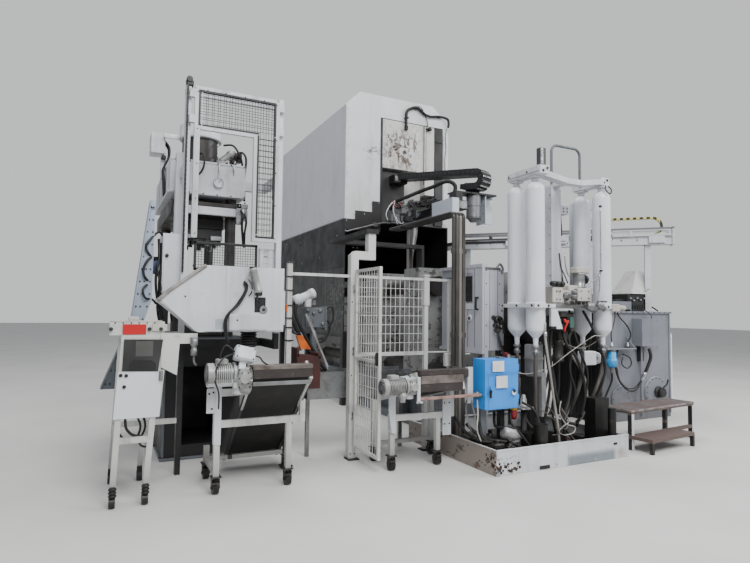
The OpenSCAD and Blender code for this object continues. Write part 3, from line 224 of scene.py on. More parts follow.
coat = painted("panel_white", (0.79, 0.79, 0.785), (0.73, 0.725, 0.71), (0.56, 0.51, 0.45), 0.5, 0.45, 0.5)
coat.spots((0.1, 0.08, 0.075), (7, 7, 11), 0.535, coat.inside((-0.26, 0.3, 2, 2.7, 4.3, 4.85), 0.15))
coat.spots((0.27, 0.17, 0.12), (15, 15, 6), 0.53, coat.inside((-0.34, 0.45, 2, 2.7, 4.18, 4.9), 0.12), 0.85)
panel_white = coat.done()

white = painted("machine_white", *MACHINE_WHITE).done()

coat = Coat("bottle_white", (0.85, 0.865, 0.885), 0.3).vary((0.80, 0.815, 0.84), 2)
bottle_white = coat.vary((0.66, 0.64, 0.6), (14, 14, 1.5), 0.62, 0.8, 0.5).shine(0.22, 0.36).done()

coat = painted("fence_white", (0.80, 0.80, 0.79), (0.71, 0.71, 0.70), (0.36, 0.33, 0.3), 0.5, 0.55, 0.6)
fence_white = coat.done()

coat = painted("stand_white", (0.78, 0.785, 0.77), (0.70, 0.705, 0.69), (0.34, 0.31, 0.28), 0.5, 0.5, 0.55)
coat.fade(Z, 0.42, 0.1, (0.3, 0.27, 0.25), 0.5)
coat.fade(Z, 0.14, 0.125, (0.12, 0.11, 0.105))
for x in (-3.607, -3.066):
    coat.patch((x - 0.022, x + 0.022, -1.33, -0.4, 0.16, 1.2), 0.003, (0.22, 0.22, 0.225))
stand_white = coat.done()

coat = painted("tray_paint", (0.80, 0.81, 0.82), (0.72, 0.73, 0.74), (0.42, 0.37, 0.33), 0.45, 0.4, 0.45)
coat.patch((-1.3, -1.252, -3, 1, -1, 1), 0.004, (0.56, 0.525, 0.50))
coat.spots((0.25, 0.19, 0.15), (4, 4, 7), 0.56, coat.inside((-1.5, -1.245, -3, 1, -1, 1), 0.01), 0.75)
coat.spots((0.12, 0.09, 0.075), (11, 11, 13), 0.52,
           coat.inside((-1.27, -0.95, -2.1, -1.9, 0.0, 0.16), 0.05))
coat.patch((-0.3, 0.4, -2.1, -1.99, -0.05, 0.105), 0.02, (0.40, 0.45, 0.48), 0.6)
coat.spots((0.36, 0.41, 0.44), (3, 3, 5), 0.34,
           coat.inside((-0.3, 0.4, -2.1, -1.99, -0.05, 0.1), 0.03), 0.95)
coat.spots((0.12, 0.11, 0.11), (9, 9, 20), 0.6, coat.inside((-0.3, 0.62, -2.1, -1.99, 0.0, 0.2), 0.06))
coat.patch((0.44, 0.56, -2.1, -1.99, 0.02, 0.1), 0.04, (0.62, 0.54, 0.5))
coat.spots((0.5, 0.3, 0.18), (8, 8, 16), 0.62, None, 0.8)
coat.patch((-1.245, 0.605, -1.985, -0.315, -0.1, 0.23), 0.004, (0.17, 0.12, 0.09))
tray_paint = coat.done()

coat = painted("guard_lilac", (0.75, 0.755, 0.79), (0.70, 0.705, 0.74), (0.45, 0.43, 0.43), 0.4, 0.3, 0.3)
coat.patch((-0.745, -0.697, -0.99, -0.95, 1.62, 1.8), 0.002, (0.06, 0.06, 0.065))
lilac = coat.done()

coat = painted("machine_grey", (0.40, 0.42, 0.44), (0.33, 0.345, 0.36), (0.12, 0.115, 0.11), 0.5, 0.5, 0.55)
grey = coat.done()

coat = painted("tank_grey", (0.50, 0.515, 0.545), (0.43, 0.445, 0.475), (0.24, 0.23, 0.23), 0.38, 0.35, 0.3)
coat.fade(Z, 0.5, 0.15, (0.3, 0.29, 0.29), 0.6)
# Painted shade: the left face is near black, and the front face darker towards its lower left corner.
coat.patch((1.79, 1.83, -0.6, 0.4, 0, 1.62), 0.004, (0.1, 0.1, 0.105))
coat.patch((1.79, 2.12, -0.6, -0.56, 0, 0.9), 0.12, (0.19, 0.2, 0.21))
tank_grey = coat.done()

coat = painted("house_dark", (0.118, 0.115, 0.118), (0.09, 0.088, 0.09), (0.08, 0.075, 0.075), 0.5,
               0.5, 0.5)
coat.spots((0.4, 0.39, 0.38), 14, 0.7, None, 0.8)
coat.patch((-1.09, -1.06, 2.25, 6.01, 1.2, 2.36), 0.006, (0.205, 0.21, 0.205))
coat.patch((-1.09, -1.06, 3.12, 3.145, 1.3, 2.34), 0.003, (0.34, 0.35, 0.34))
coat.patch((-1.09, -1.06, 2.25, 6.01, 2.35, 2.375), 0.002, (0.04, 0.04, 0.04))
coat.spots((0.62, 0.62, 0.6), (16, 16, 13), 0.53,
           coat.inside((-1.09, -1.05, 2.3, 3.05, 1.3, 2.15), 0.1), 0.85)
for x in (-0.53, 0, 0.53):
    coat.patch((x - 0.005, x + 0.005, 5.99, 6.01, 1.35, 3.1), 0.001, (0.45, 0.45, 0.46))
for x in (-0.48, 0.05):
    coat.patch((x, x + 0.03, 5.99, 6.01, 2.1, 2.3), 0.002, (0.6, 0.6, 0.62))
coat.patch((-1.02, 1.02, 5.99, 6.01, 3.1, 3.108), 0.001, (0.45, 0.45, 0.46))
coat.patch((-1.02, 1.02, 5.99, 6.01, 1.342, 1.35), 0.001, (0.45, 0.45, 0.46))
house_dark = coat.done()

coat = painted("dark_paint", (0.13, 0.13, 0.135), (0.09, 0.09, 0.095), (0.2, 0.18, 0.16), 0.5, 0.3, 0.4)
dark = coat.done()

coat = Coat("black_plastic", (0.055, 0.055, 0.06), 0.5).vary((0.09, 0.09, 0.095), 6)
black = coat.shine(0.4, 0.6).done()

coat = Coat("black_rubber", (0.06, 0.058, 0.056), 0.6).vary((0.13, 0.115, 0.1), 5, 0.5, 0.75)
rubber = coat.shine(0.5, 0.75).done()

coat = Coat("belt_black", (0.075, 0.07, 0.068), 0.7).vary((0.2, 0.17, 0.15), 7, 0.5, 0.8, 0.7)
belt_black = coat.bump(30, 0.001).done()

cleat = Coat("cleat_brown", (0.45, 0.42, 0.4), 0.6).vary((0.27, 0.23, 0.21), 6, 0.4, 0.65).done()

coat = Coat("bare_steel", (0.56, 0.565, 0.57), 0.38, 0.75).vary((0.4, 0.39, 0.38), 5)
steel = coat.vary((0.2, 0.17, 0.15), 9, 0.6, 0.8, 0.8).shine(0.28, 0.5).done()

coat = Coat("bright_steel", (0.78, 0.785, 0.79), 0.25, 0.9).vary((0.6, 0.6, 0.61), 12)
bright = coat.shine(0.2, 0.35).done()

coat = Coat("oily_steel", (0.25, 0.24, 0.235), 0.4, 0.4).vary((0.13, 0.115, 0.105), 6)
oily = coat.vary((0.4, 0.36, 0.32), 12, 0.6, 0.75, 0.8).shine(0.3, 0.6).done()

# The pump set's near-black base colour is painted shade; the brown spots are grime.
coat = Coat("pump_dark", (0.1, 0.095, 0.09), 0.5, 0.2).vary((0.06, 0.055, 0.05), 7)
pump_dark = coat.vary((0.26, 0.22, 0.19), 12, 0.62, 0.78, 0.7).done()

red_brown = plain("red_brown", (0.27, 0.11, 0.1), 0.6, (0.17, 0.08, 0.07), 7)

coat = painted("blue_paint", (0.2, 0.58, 0.92), (0.17, 0.53, 0.86), (0.14, 0.38, 0.6), 0.35, 0.25, 0.25)
blue = coat.done()

blue_glass = plain("filter_blue", (0.25, 0.62, 0.85), 0.25, (0.15, 0.45, 0.7), 12)
pipe = piping("pipe_brown").shine(0.3, 0.5).done()

coat = painted("elevator_blue", (0.62, 0.66, 0.72), (0.54, 0.59, 0.65), (0.3, 0.3, 0.32), 0.45, 0.4, 0.35)
coat.fade(Z, 1.45, 1.41, (0.24, 0.26, 0.27), 0.85)
elev = coat.done()

coat = Coat("step_plate", (0.34, 0.33, 0.325), 0.6).vary((0.25, 0.235, 0.225), 6)
coat.mix(coat.ramp(coat.noise(4, 6), 0.42, 0.6, 0, 0.8), (0.36, 0.25, 0.22))
coat.vary((0.5, 0.47, 0.45), 15, 0.6, 0.74)
coat.fade(Z, 0.41, 0.40, (0.12, 0.115, 0.11))
coat.patch((0, 3, -3, 0, 0.128, 0.175), 0.003, (0.36, 0.30, 0.28))
step_dark = coat.bump(60, 0.002).done()

red = plain("red_paint", (0.78, 0.16, 0.15), 0.45, (0.66, 0.13, 0.12), 9)
orange = plain("orange_paint", (0.85, 0.42, 0.12), 0.5, (0.7, 0.32, 0.08), 9)

coat = painted("cream_paint", (0.74, 0.725, 0.70), (0.66, 0.64, 0.61), (0.38, 0.33, 0.29), 0.5, 0.4, 0.45)
cream = coat.done()

coat = Coat("chain_stripes", (0.80, 0.76, 0.32), 0.5)
coat.mix(coat.ramp(coat.math("FRACT", coat.math("MULTIPLY", coat.axis(0), 14)), 0.45, 0.49),
         (0.05, 0.05, 0.05))
chain_stripes = coat.done()

coat = painted("crossbar_white", *MACHINE_WHITE)
coat.fade(Z, 3.213, 3.217, (0.24, 0.24, 0.245))
crossbar_white = coat.done()

coat = painted("valve_plate", (0.62, 0.60, 0.57), (0.5, 0.47, 0.44), (0.25, 0.21, 0.18), 0.5, 0.6, 0.6)
coat.patch((-0.33, -0.15, -1.8, -1.75, 1.42, 1.664), 0.004, (0.83, 0.84, 0.85))
valve_plate = coat.done()

coat = Coat("unit_grey", (0.5, 0.505, 0.52), 0.42, 0.3).vary((0.4, 0.4, 0.41), 7)
coat.patch((0, 0.126, 0, 3, 2.9, 3.45), 0.002, (0.72, 0.75, 0.79))
coat.fade(X, 0.715, 0.717, (0.74, 0.77, 0.80))
unit_grey = coat.done()

coat = painted("door_frame", (0.79, 0.80, 0.81), (0.71, 0.72, 0.73), (0.36, 0.33, 0.3), 0.5, 0.5, 0.5)
for x0, x1, z0, z1 in ((-3.965, -3.165, 3.435, 3.805), (-3.365, -3.165, 2.345, 3.43)):
    coat.patch((x0, x1, -0.8, -0.6, z0, z1), 0.002, (0.07, 0.07, 0.075))
door_frame = coat.done()

coat = painted("cylinder_dark", (0.2, 0.195, 0.19), (0.13, 0.125, 0.12), (0.42, 0.37, 0.33), 0.4, 0.5, 0.5)
coat.fade(Z, 3.538, 3.542, (0.84, 0.85, 0.86))
cylinder_dark = coat.done()

coat = painted("beam_white", *MACHINE_WHITE)
coat.patch((0.9, 2.9, -0.2, 3, 2.84, 3.0), 0.01, (0.22, 0.22, 0.23))
coat.fade(Z, 3.0, 3.01, (0.2, 0.2, 0.21), 0.8)
beam_white = coat.done()

coat = painted("panel_red", (0.78, 0.785, 0.77), (0.70, 0.705, 0.69), (0.34, 0.31, 0.28), 0.5, 0.5, 0.55)
coat.patch((-4.605, -4.425, -1.43, -1.385, 1.385, 1.47), 0.002, (0.72, 0.06, 0.07))
coat.patch((-4.7, -4.3, -1.43, -1.385, 0.6, 1.08), 0.002, (0.82, 0.84, 0.85))
panel_red = coat.done()

coat = painted("rail_white", *MACHINE_WHITE)
# Painted shade: the rails are near black below 1.35 m.
coat.fade(Z, 1.37, 1.35, (0.09, 0.09, 0.095))
rail_white = coat.done()

coat = piping("pipe_run")
coat.fade(Z, 2.745, 2.765, (0.15, 0.145, 0.14))
coat.patch((-0.973, -0.925, -3, 3, 0, 2.75), 0.002, (0.56, 0.545, 0.53), 0.75)
coat.patch((-1.07, -1.02, -3, 3, 0, 2.75), 0.002, (0.16, 0.155, 0.15), 0.5)
pipe_run = coat.shine(0.3, 0.5).done()

coat = painted("platen_grey", (0.52, 0.525, 0.52), (0.40, 0.40, 0.39), (0.17, 0.14, 0.12), 0.5, 0.6, 0.6)
coat.spots((0.12, 0.1, 0.09), (6, 6, 9), 0.55, None, 0.8)
platen_grey = coat.done()
alloy = Coat("cast_alloy", (0.66, 0.66, 0.655), 0.45, 0.4).vary((0.5, 0.5, 0.49), 9).done()
bolt_light = plain("bolt_light", (0.5, 0.49, 0.47), 0.5, (0.36, 0.35, 0.34), 12)
plate_light = plain("plate_light", (0.74, 0.77, 0.79), 0.45, (0.66, 0.68, 0.69), 7)
motor_blue = plain("motor_blue", (0.12, 0.16, 0.3), 0.5, (0.08, 0.1, 0.2), 8)
edge_grey = plain("edge_grey", (0.6, 0.585, 0.57), 0.55, (0.36, 0.33, 0.31), 10)
plate_grey = plain("plate_grey", (0.7, 0.73, 0.74), 0.5, (0.62, 0.65, 0.66), 8)
valve_green = plain("valve_green", (0.25, 0.4, 0.36), 0.5, (0.15, 0.25, 0.22), 9)
seam_grey = plain("seam_grey", (0.3, 0.3, 0.31), 0.5, (0.45, 0.44, 0.44), 12)
rib_grey = plain("rib_grey", (0.34, 0.34, 0.35), 0.5, (0.45, 0.44, 0.44), 12)
cast_light = plain("cast_light", (0.62, 0.63, 0.64), 0.5, (0.5, 0.5, 0.5), 6)

coat = Coat("band_brown", (0.21, 0.18, 0.17), 0.6).vary((0.13, 0.11, 0.105), 6)
band_brown = coat.vary((0.36, 0.31, 0.29), 12, 0.58, 0.75).done()

primer_bar = plain("primer_bar", (0.62, 0.5, 0.47), 0.6, (0.45, 0.33, 0.3), 8)
pane_grey = plain("pane_grey", (0.15, 0.15, 0.152), 0.35, (0.22, 0.22, 0.22), 3)
screen_grey = plain("screen_grey", (0.3, 0.3, 0.292), 0.4, (0.24, 0.24, 0.235), 5)
blank_plate = plain("blank_plate", (0.86, 0.87, 0.88), 0.5, (0.8, 0.8, 0.81), 8)
seam_blue = plain("seam_blue", (0.24, 0.52, 0.76), 0.4, (0.2, 0.45, 0.68), 9)
lamp_red = plain("lamp_red", (0.5, 0.09, 0.13), 0.35, (0.36, 0.06, 0.09), 10)
plug_yellow = plain("plug_yellow", (0.78, 0.62, 0.12), 0.45, (0.6, 0.46, 0.1), 10)

coat = Coat("sludge", (0.13, 0.1, 0.085), 0.3)
sludge = coat.vary((0.36, 0.19, 0.08), (2.2, 2.2, 1), 0.52, 0.66, 0.9).shine(0.12, 0.5).done()

crust = Coat("crust", (0.1, 0.075, 0.06), 0.75).vary((0.3, 0.2, 0.14), 18).bump(60, 0.006).done()
hose_pale = Coat("hose_pale", (0.66, 0.65, 0.63), 0.45).vary((0.42, 0.39, 0.37), (9, 9, 3)).done()
tread_edge = plain("tread_edge", (0.52, 0.5, 0.49), 0.5, (0.34, 0.3, 0.28), 9)

# Each look and the CAD nodes that wear it
DRESS = {
    hood_white: "hood",
    panel_white: "hood_panel",
    house_dark: "closing_housing housing_frame hood_skirt",
    white: "flange_plates press_crown chute_hood press_boxes gantry_columns conveyor_drives",
    rail_white: "door_rails",
    crossbar_white: "yoke",
    valve_plate: "manifold",
    unit_grey: "spray_head",
    door_frame: "press_door",
    cylinder_dark: "press_cylinder",
    beam_white: "gantry_beam",
    panel_red: "stand_panel",
    bottle_white: "left_bottles right_bottles",
    fence_white: "fence_frame fence_mesh duct_post mesh_gate",
    stand_white: "stand_frame conveyor_frames",
    tray_paint: "drip_tray",
    lilac: "shot_guard safety_door mast",
    grey: "machine_bed closing_cylinder ladder_hoop",
    pump_dark: "pump_set",
    oily: "shot_frame tie_bars press_columns press_ram",
    platen_grey: "fixed_platen moving_platen rear_platen",
    steel: "tank_pipes transfer_trough",
    tank_grey: "oil_tank tank_lid tank_box",
    # The press base's dark paint is partly painted shade, for the shadowed space under the press.
    dark: "robot_arm cabinet_stand cable_tray press_base shot_cylinder",
    step_dark: "steps",
    black: "energy_chain",
    belt_black: "conveyor_belts",
    chain_stripes: "gantry_chain",
    blue: "cabinet_body cabinet_door",
    pipe_run: "pipe_bundle",
    elev: "elevator",
}
for material, names in DRESS.items():
    for name in names.split():
        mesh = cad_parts[name].data
        mesh.materials.clear()
        mesh.materials.append(material)

# The record's material that a piece takes from its look, unless it names another
SLOTS = {
    "black_plastic": (black, rubber),
    "white_paint": (hood_white, bottle_white, plate_light, alloy, white, cream, fence_white, edge_grey,
        plate_grey, lilac, seam_grey, rib_grey, primer_bar),
    "bare_steel": (bolt_light, steel, oily, bright, cleat, hose_pale),
    "machine_grey": (house_dark, red, grey, valve_green, cast_light, orange, red_brown, lamp_red,
        plug_yellow, tank_grey, stand_white),
    "dark_paint": (dark, pane_grey, screen_grey, tread_edge),
    "elevator_blue": (elev, motor_blue),
    "pipe_brown": (pipe,),
    "belt_rubber": (band_brown,),
    "blue_paint": (blank_plate, seam_blue, blue_glass),
    "tray_paint": (tray_paint, sludge, crust),
}
SLOT_OF = {material.name: slot for slot, materials in SLOTS.items() for material in materials}

# Directions in which bolt heads stand out
FRONT, LEFT, RIGHT, UP = (0, -1, 0), (-1, 0, 0), (1, 0, 0), (0, 0, 1)

# Every mesh piece, in the order in which they are built at the end
PIECES = []


def front_of(node):
    """The CAD node's front, in millimetres."""
    return round(1000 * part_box(node)[0].y)


def place(at, *turns):
    """A matrix at a point, turned by (degrees, axis) one after the other."""
    matrix = Matrix.Translation(at)
    for degrees, axis in turns:
        matrix = matrix @ Matrix.Rotation(math.radians(degrees), 4, axis)
    return matrix


def spline(points, steps):
    """Points on a smooth curve through points, steps to each stretch."""
    curve = []
    for i in range(len(points) - 1):
        a, b, c = points[max(i - 1, 0)], points[i], points[i + 1]
        d = points[min(i + 2, len(points) - 1)]
        for k in range(steps):
            t = k / steps
            square = (2 * a - 5 * b + 4 * c - d) * t * t
            curve.append(0.5 * (2 * b + (c - a) * t + square + (3 * b - a - 3 * c + d) * t ** 3))
    return curve + [points[-1]]


def circle(count, start=0.0):
    """Cosine and sine at even steps round a circle."""
    angles = [2 * math.pi * (k + start) / count for k in range(count)]
    return [(math.cos(angle), math.sin(angle)) for angle in angles]


class Piece:
    """A mesh in millimetres of the frame, which rides on a body."""

    def __init__(self, name, material, slot=None, body="cell"):
        self.name, self.material, self.body = name, material, body
        self.slot = slot or SLOT_OF[material.name]
        self.points, self.faces, self.smooth = [], [], []
        PIECES.append(self)

    def add(self, points, faces, smooth=False, matrix=None):
        first = len(self.points)
        self.points += [tuple(matrix @ Vector(p)) if matrix else p for p in points]
        self.faces += [tuple(i + first for i in face) for face in faces]
        self.smooth += [smooth] * len(faces)
        return self

    def box(self, a, b, cut=0, matrix=None):
        """A box from a to b with its edges cut off."""
        x0, y0, z0 = (min(p, q) for p, q in zip(a, b))
        x1, y1, z1 = (max(p, q) for p, q in zip(a, b))
        cut = min(cut, (x1 - x0) / 3, (y1 - y0) / 3, (z1 - z0) / 3)
        if cut <= 0:
            corners = ((x0, y0), (x1, y0), (x1, y1), (x0, y1))
            sides = [(i, (i + 1) % 4, 4 + (i + 1) % 4, 4 + i) for i in range(4)]
            points = [(x, y, z) for z in (z0, z1) for x, y in corners]
            return self.add(points, [(3, 2, 1, 0), (4, 5, 6, 7)] + sides, matrix=matrix)
        rings = []
        for z, inset in ((z0, cut), (z0 + cut, 0), (z1 - cut, 0), (z1, cut)):
            u, w, s, t = x0 + inset, x1 - inset, y0 + inset, y1 - inset
            rings.append([(u + cut, s, z), (w - cut, s, z), (w, s + cut, z), (w, t - cut, z),
                          (w - cut, t, z), (u + cut, t, z), (u, t - cut, z), (u, s + cut, z)])
        return self.loft(rings, matrix=matrix)

    def loft(self, rings, caps=True, smooth=False, matrix=None):
        """A skin through rings that have as many points each."""
        count = len(rings[0])
        points = [p for ring in rings for p in ring]
        faces = []
        for start in range(0, len(points) - count, count):
            for i in range(count):
                j = (i + 1) % count
                faces.append((start + i, start + j, start + count + j, start + count + i))
        self.add(points, faces, smooth, matrix)
        if caps:
            first = len(self.points) - len(points)
            self.faces.append(tuple(first + i for i in reversed(range(count))))
            self.faces.append(tuple(first + len(points) - count + i for i in range(count)))
            self.smooth += [False, False]
        return self

    def tube(self, points, radius, sides=10, smooth=True, steps=4, caps=True):
        """A round tube along points, curved between them; radius may be one for each point."""
        points = [Vector(p) for p in points]
        if steps and len(points) > 2:
            points = spline(points, steps)
        rings, side = [], None
        for i, point in enumerate(points):
            before, after = points[max(i - 1, 0)], points[min(i + 1, len(points) - 1)]
            along = (after - before).normalized()
            side = along.orthogonal() if side is None else side - along * side.dot(along)
            side = side.normalized()
            other = along.cross(side)
            r = radius[i * len(radius) // len(points)] if hasattr(radius, "__len__") else radius
            rings.append([tuple(point + (side * c + other * s) * r) for c, s in circle(sides)])
        return self.loft(rings, caps, smooth)

    def lathe(self, a, b, profile, sides=20, smooth=True):
        """A turned shape on the line from a to b, with a profile of (distance, radius)."""
        a, along = Vector(a), (Vector(b) - Vector(a)).normalized()
        side = along.orthogonal().normalized()
        other = along.cross(side)
        rings = []
        for distance, radius in profile:
            centre, r = a + along * distance, max(radius, 0.2)
            rings.append([tuple(centre + (side * c + other * s) * r) for c, s in circle(sides)])
        return self.loft(rings, True, smooth)

    def cyl(self, a, b, radius, sides=16, cut=3):
        """A cylinder from a to b with its edges cut off."""
        length = (Vector(b) - Vector(a)).length
        cut = min(cut, length / 4, radius / 3)
        profile = [(0, radius - cut), (cut, radius), (cut, radius), (length - cut, radius),
                   (length - cut, radius), (length, radius - cut)]
        return self.lathe(a, b, profile, sides)

    def bolt(self, at, along, radius=9, height=8):
        """A hexagon head that stands out along a direction."""
        at, along = Vector(at), Vector(along).normalized()
        profile = [(0, radius), (height - 1, radius), (height, radius * 0.8)]
        return self.lathe(at - along, at + along * height, profile, 6, False)

    def bolt_circle(self, centre, reach, count, along, radius, height, start=0.0):
        """Bolts round a centre, on a front or, with UP, on a top face."""
        x, y, z = centre
        for c, s in circle(count, start):
            shift = (0, reach * s, 0) if along == UP else (0, 0, reach * s)
            self.bolt((x + reach * c, y + shift[1], z + shift[2]), along, radius, height)
        return self

    def hoses(self, runs, sides=8):
        """Tubes from runs of (radius, point, point, ...)."""
        for radius, *points in runs:
            self.tube(points, radius, sides)
        return self

    def ribbed(self, points, radius, step=9, depth=4, sides=14):
        """A corrugated hose with ridges at an even step."""
        dense = spline([Vector(p) for p in points], 20)
        ridges, left = [dense[0]], step
        for a, b in zip(dense, dense[1:]):
            length, at = (b - a).length, 0
            while length - at >= left:
                at += left
                left = step
                ridges.append(a + (b - a) * (at / length))
            left -= length - at
        radii = [radius - depth * (i % 2) for i in range(len(ridges))]
        return self.tube(ridges, radii, sides, steps=0)

    def build(self):
        mesh = bpy.data.meshes.new(self.name)
        mesh.from_pydata([tuple(c / 1000 for c in p) for p in self.points], [], self.faces)
        mesh.polygons.foreach_set("use_smooth", self.smooth)
        mesh.materials.append(self.material)
        mesh.update()
        ob = bpy.data.objects.new(self.name, mesh)
        scene.collection.objects.link(ob)
        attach(ob, self.body)


# Floor, background and light
FLOOR_HALF, FLOOR_Z = 60, -0.002


def floor():
    mesh = bpy.data.meshes.new("floor")
    corners = ((-1, -1), (1, -1), (1, 1), (-1, 1))
    corners = [(x * FLOOR_HALF, y * FLOOR_HALF, FLOOR_Z) for x, y in corners]
    mesh.from_pydata(corners, [], [(0, 1, 2, 3)])
    pale = Coat("floor_pale", (0.80, 0.795, 0.785), 0.85, 0, 0.2)
    mesh.materials.append(pale.vary((0.77, 0.765, 0.755), 0.8).done())
    ob = bpy.data.objects.new("floor", mesh)
    scene.collection.objects.link(ob)


floor()

world = bpy.data.worlds.new("world")
scene.world = world
world.use_nodes = True
tree = world.node_tree
tree.nodes.clear()
world_out = tree.nodes.new("ShaderNodeOutputWorld")
light_path = tree.nodes.new("ShaderNodeLightPath")
world_mix = tree.nodes.new("ShaderNodeMixShader")
ambient = tree.nodes.new("ShaderNodeBackground")
ambient.inputs[0].default_value = (0.93, 0.96, 1.0, 1)
ambient.inputs[1].default_value = 0.55
backdrop = tree.nodes.new("ShaderNodeBackground")
backdrop.inputs[0].default_value = (0.86, 0.87, 0.88, 1)
backdrop.inputs[1].default_value = 0.85
tree.links.new(light_path.outputs["Is Camera Ray"], world_mix.inputs[0])
tree.links.new(ambient.outputs[0], world_mix.inputs[1])
tree.links.new(backdrop.outputs[0], world_mix.inputs[2])
tree.links.new(world_mix.outputs[0], world_out.inputs[0])


def lamp(name, at, target, size, watts):
    data = bpy.data.lights.new(name, "AREA")
    data.shape, data.size, data.energy = "DISK", size, watts
    ob = bpy.data.objects.new(name, data)
    ob.location = at
    ob.rotation_euler = (Vector(target) - Vector(at)).to_track_quat("-Z", "Y").to_euler()
    scene.collection.objects.link(ob)


lamp("key", (-3, -9, 10), (-0.5, 0, 1.5), 7, 1500)
lamp("fill", (8, -6, 8), (1, 0, 1.5), 7, 700)
lamp("top", (-1, 3, 13), (-0.5, 1, 1), 9, 900)

# Hood and housing: seams, trims, bolts, side panels, vents and hoses
hood_front = front_of("hood")

part = Piece("hood_seams", black, slot="dark_paint")
part.box((-388, hood_front - 6, 3210), (-342, hood_front + 30, 5078), 2)
part.box((-385, hood_front - 3, 5072), (570, hood_front + 30, 5086), 2)
part.box((568, hood_front - 2, 4172), (574, hood_front + 20, 5078), 1)
part.box((-1067, hood_front + 20, 3206), (-1064, 5990, 3212))

part = Piece("hood_trims", hood_white)
part.box((950, hood_front - 16, 3240), (1022, hood_front + 4, 4960), 3)
part.box((-1060, hood_front - 6, 3215), (-1040, hood_front + 3, 5180), 2)

part = Piece("side_bolts", bolt_light)
for y, z in ((5581, 3084), (4632, 3023), (2627, 2932), (3468, 2609), (4503, 2571)):
    part.bolt((-1065, y, z), LEFT, 17, 8)

part = Piece("side_panels", house_dark)
for y in (2380, 3570, 4760):
    part.box((1058, y, 1340), (1071, y + 1130, 3120), 3)

part = Piece("side_handles", steel)
for y in (2380, 3570, 4760):
    for z in (2150, 2290):
        part.cyl((1066, y + 80, z), (1100, y + 80, z), 7, 10)
    part.cyl((1096, y + 80, 2138), (1096, y + 80, 2302), 8, 12)
    for z in (1440, 3020):
        for dy in (40, 1090):
            part.bolt((1071, y + dy, z), RIGHT, 11, 7)

part = Piece("side_vents", black, slot="dark_paint")
for y in (2380, 3570, 4760):
    for k in range(11):
        part.box((1068, y + 360, 2640 + 32 * k), (1074, y + 790, 2654 + 32 * k), 1)

part = Piece("hood_bolts", oily)
for z in range(4230, 5060, 200):
    for x in (-318, 530):
        part.bolt((x, hood_front, z), FRONT, 9, 7)
for z in range(3300, 5200, 230):
    part.bolt((-1024, hood_front, z), FRONT, 7, 5)
for y in range(2500, 5900, 280):
    part.bolt((-1065, y, 3250), LEFT, 7, 5)

part = Piece("hood_hoses", rubber)
part.box((96, hood_front - 60, 4925), (150, hood_front - 2, 5010), 6)
part.hoses([
    (27, (122, hood_front - 34, 4960), (112, hood_front - 45, 5130), (125, hood_front - 50, 5270),
     (215, hood_front - 50, 5340), (330, hood_front - 45, 5380), (420, hood_front - 45, 5340),
     (500, hood_front - 40, 5290)),
    (23, (480, hood_front - 40, 5290), (640, hood_front - 45, 5262), (820, hood_front - 50, 5290),
     (1010, hood_front - 45, 5278), (1046, hood_front - 40, 5200), (1042, hood_front - 30, 5120)),
    (8, (300, hood_front - 30, 5385), (430, hood_front - 40, 5400), (560, hood_front - 30, 5200),
     (590, hood_front - 25, 5060)),
    (7, (518, hood_front - 14, 5075), (521, hood_front - 12, 4740), (519, hood_front - 12, 4300),
     (519, hood_front - 8, 3960)),
    (6, (985, hood_front - 24, 4200), (975, hood_front - 26, 4500), (1000, hood_front - 26, 4700),
     (985, hood_front - 24, 4900), (1010, hood_front - 24, 5100)),
])
part.box((560, hood_front - 50, 5000), (675, hood_front - 2, 5035), 8)
part.cyl((615, hood_front - 75, 5018), (615, hood_front - 10, 5018), 30)
for x, z in ((122, 5150), (330, 5372), (820, 5288)):
    part.box((x - 34, hood_front - 76, z - 14), (x + 34, hood_front, z + 14), 5)

part = Piece("bay_edges", dark)
part.box((772, hood_front + 6, 3210), (944, hood_front + 60, 5080), 4)
for z in (3700, 4250, 4800):
    part.box((778, hood_front - 10, z), (940, hood_front + 10, z + 34), 4)

part = Piece("skirt_bolts", bright)
for x, z in (
        (-1040, 3160), (-880, 3300), (-700, 3300), (-570, 3120), (-560, 3500), (-420, 3520), (-410, 3120)):
    part.bolt((x, hood_front - 30, z), FRONT, 10, 7)

# Energy chain: loop bars, link pins, end bracket
bend = place((570, 700, 3722), (-70.8, "Z"), (6.4, "Y"), (90, "X"))
LINK_PITCH = 92
LOOP_RADIUS = 115

part = Piece("chain_bars", bright)
for a in (-68, -41, -14, 13, 40):
    r = Matrix.Rotation(math.radians(a), 4, "Z")
    part.box((160, -14, -118), (174, 14, 118), 3, bend @ r)

part = Piece("chain_pins", dark)
for side in (-1, 1):
    for i in range(17):
        a, b = (bend @ Vector((-(i + 0.5) * LINK_PITCH, LOOP_RADIUS, side * z)) for z in (122, 131))
        part.cyl(a, b, 24, 12, 2)
    for i in range(4):
        r = bend @ Matrix.Rotation(math.radians(90 - (i + 0.5) * 45), 4, "Z")
        a, b = (r @ Vector((LOOP_RADIUS, 0, side * z)) for z in (122, 131))
        part.cyl(a, b, 24, 12, 2)

part = Piece("chain_plate", bright)
part.box((-132, 2190, 3935), (-20, 2204, 4032), 4)
for x in (-120, -34):
    for z in (3950, 4016):
        part.bolt((x, 2190, z), FRONT, 7, 6)

part = Piece("arm_rail", steel)
part.box((140, 640, 3338), (160, 2280, 3356), 3)
part.box((250, 640, 3338), (270, 2280, 3356), 3)
for y in range(700, 2300, 160):
    part.bolt((205, y, 3340), UP, 9, 8)
part.box((118, 614, 3196), (126, 2290, 3212), 2)
part.box((130, 600, 3210), (280, 622, 3330), 5)
for x in (150, 260):
    for z in (3230, 3310):
        part.bolt((x, 600, z), FRONT, 9, 8)

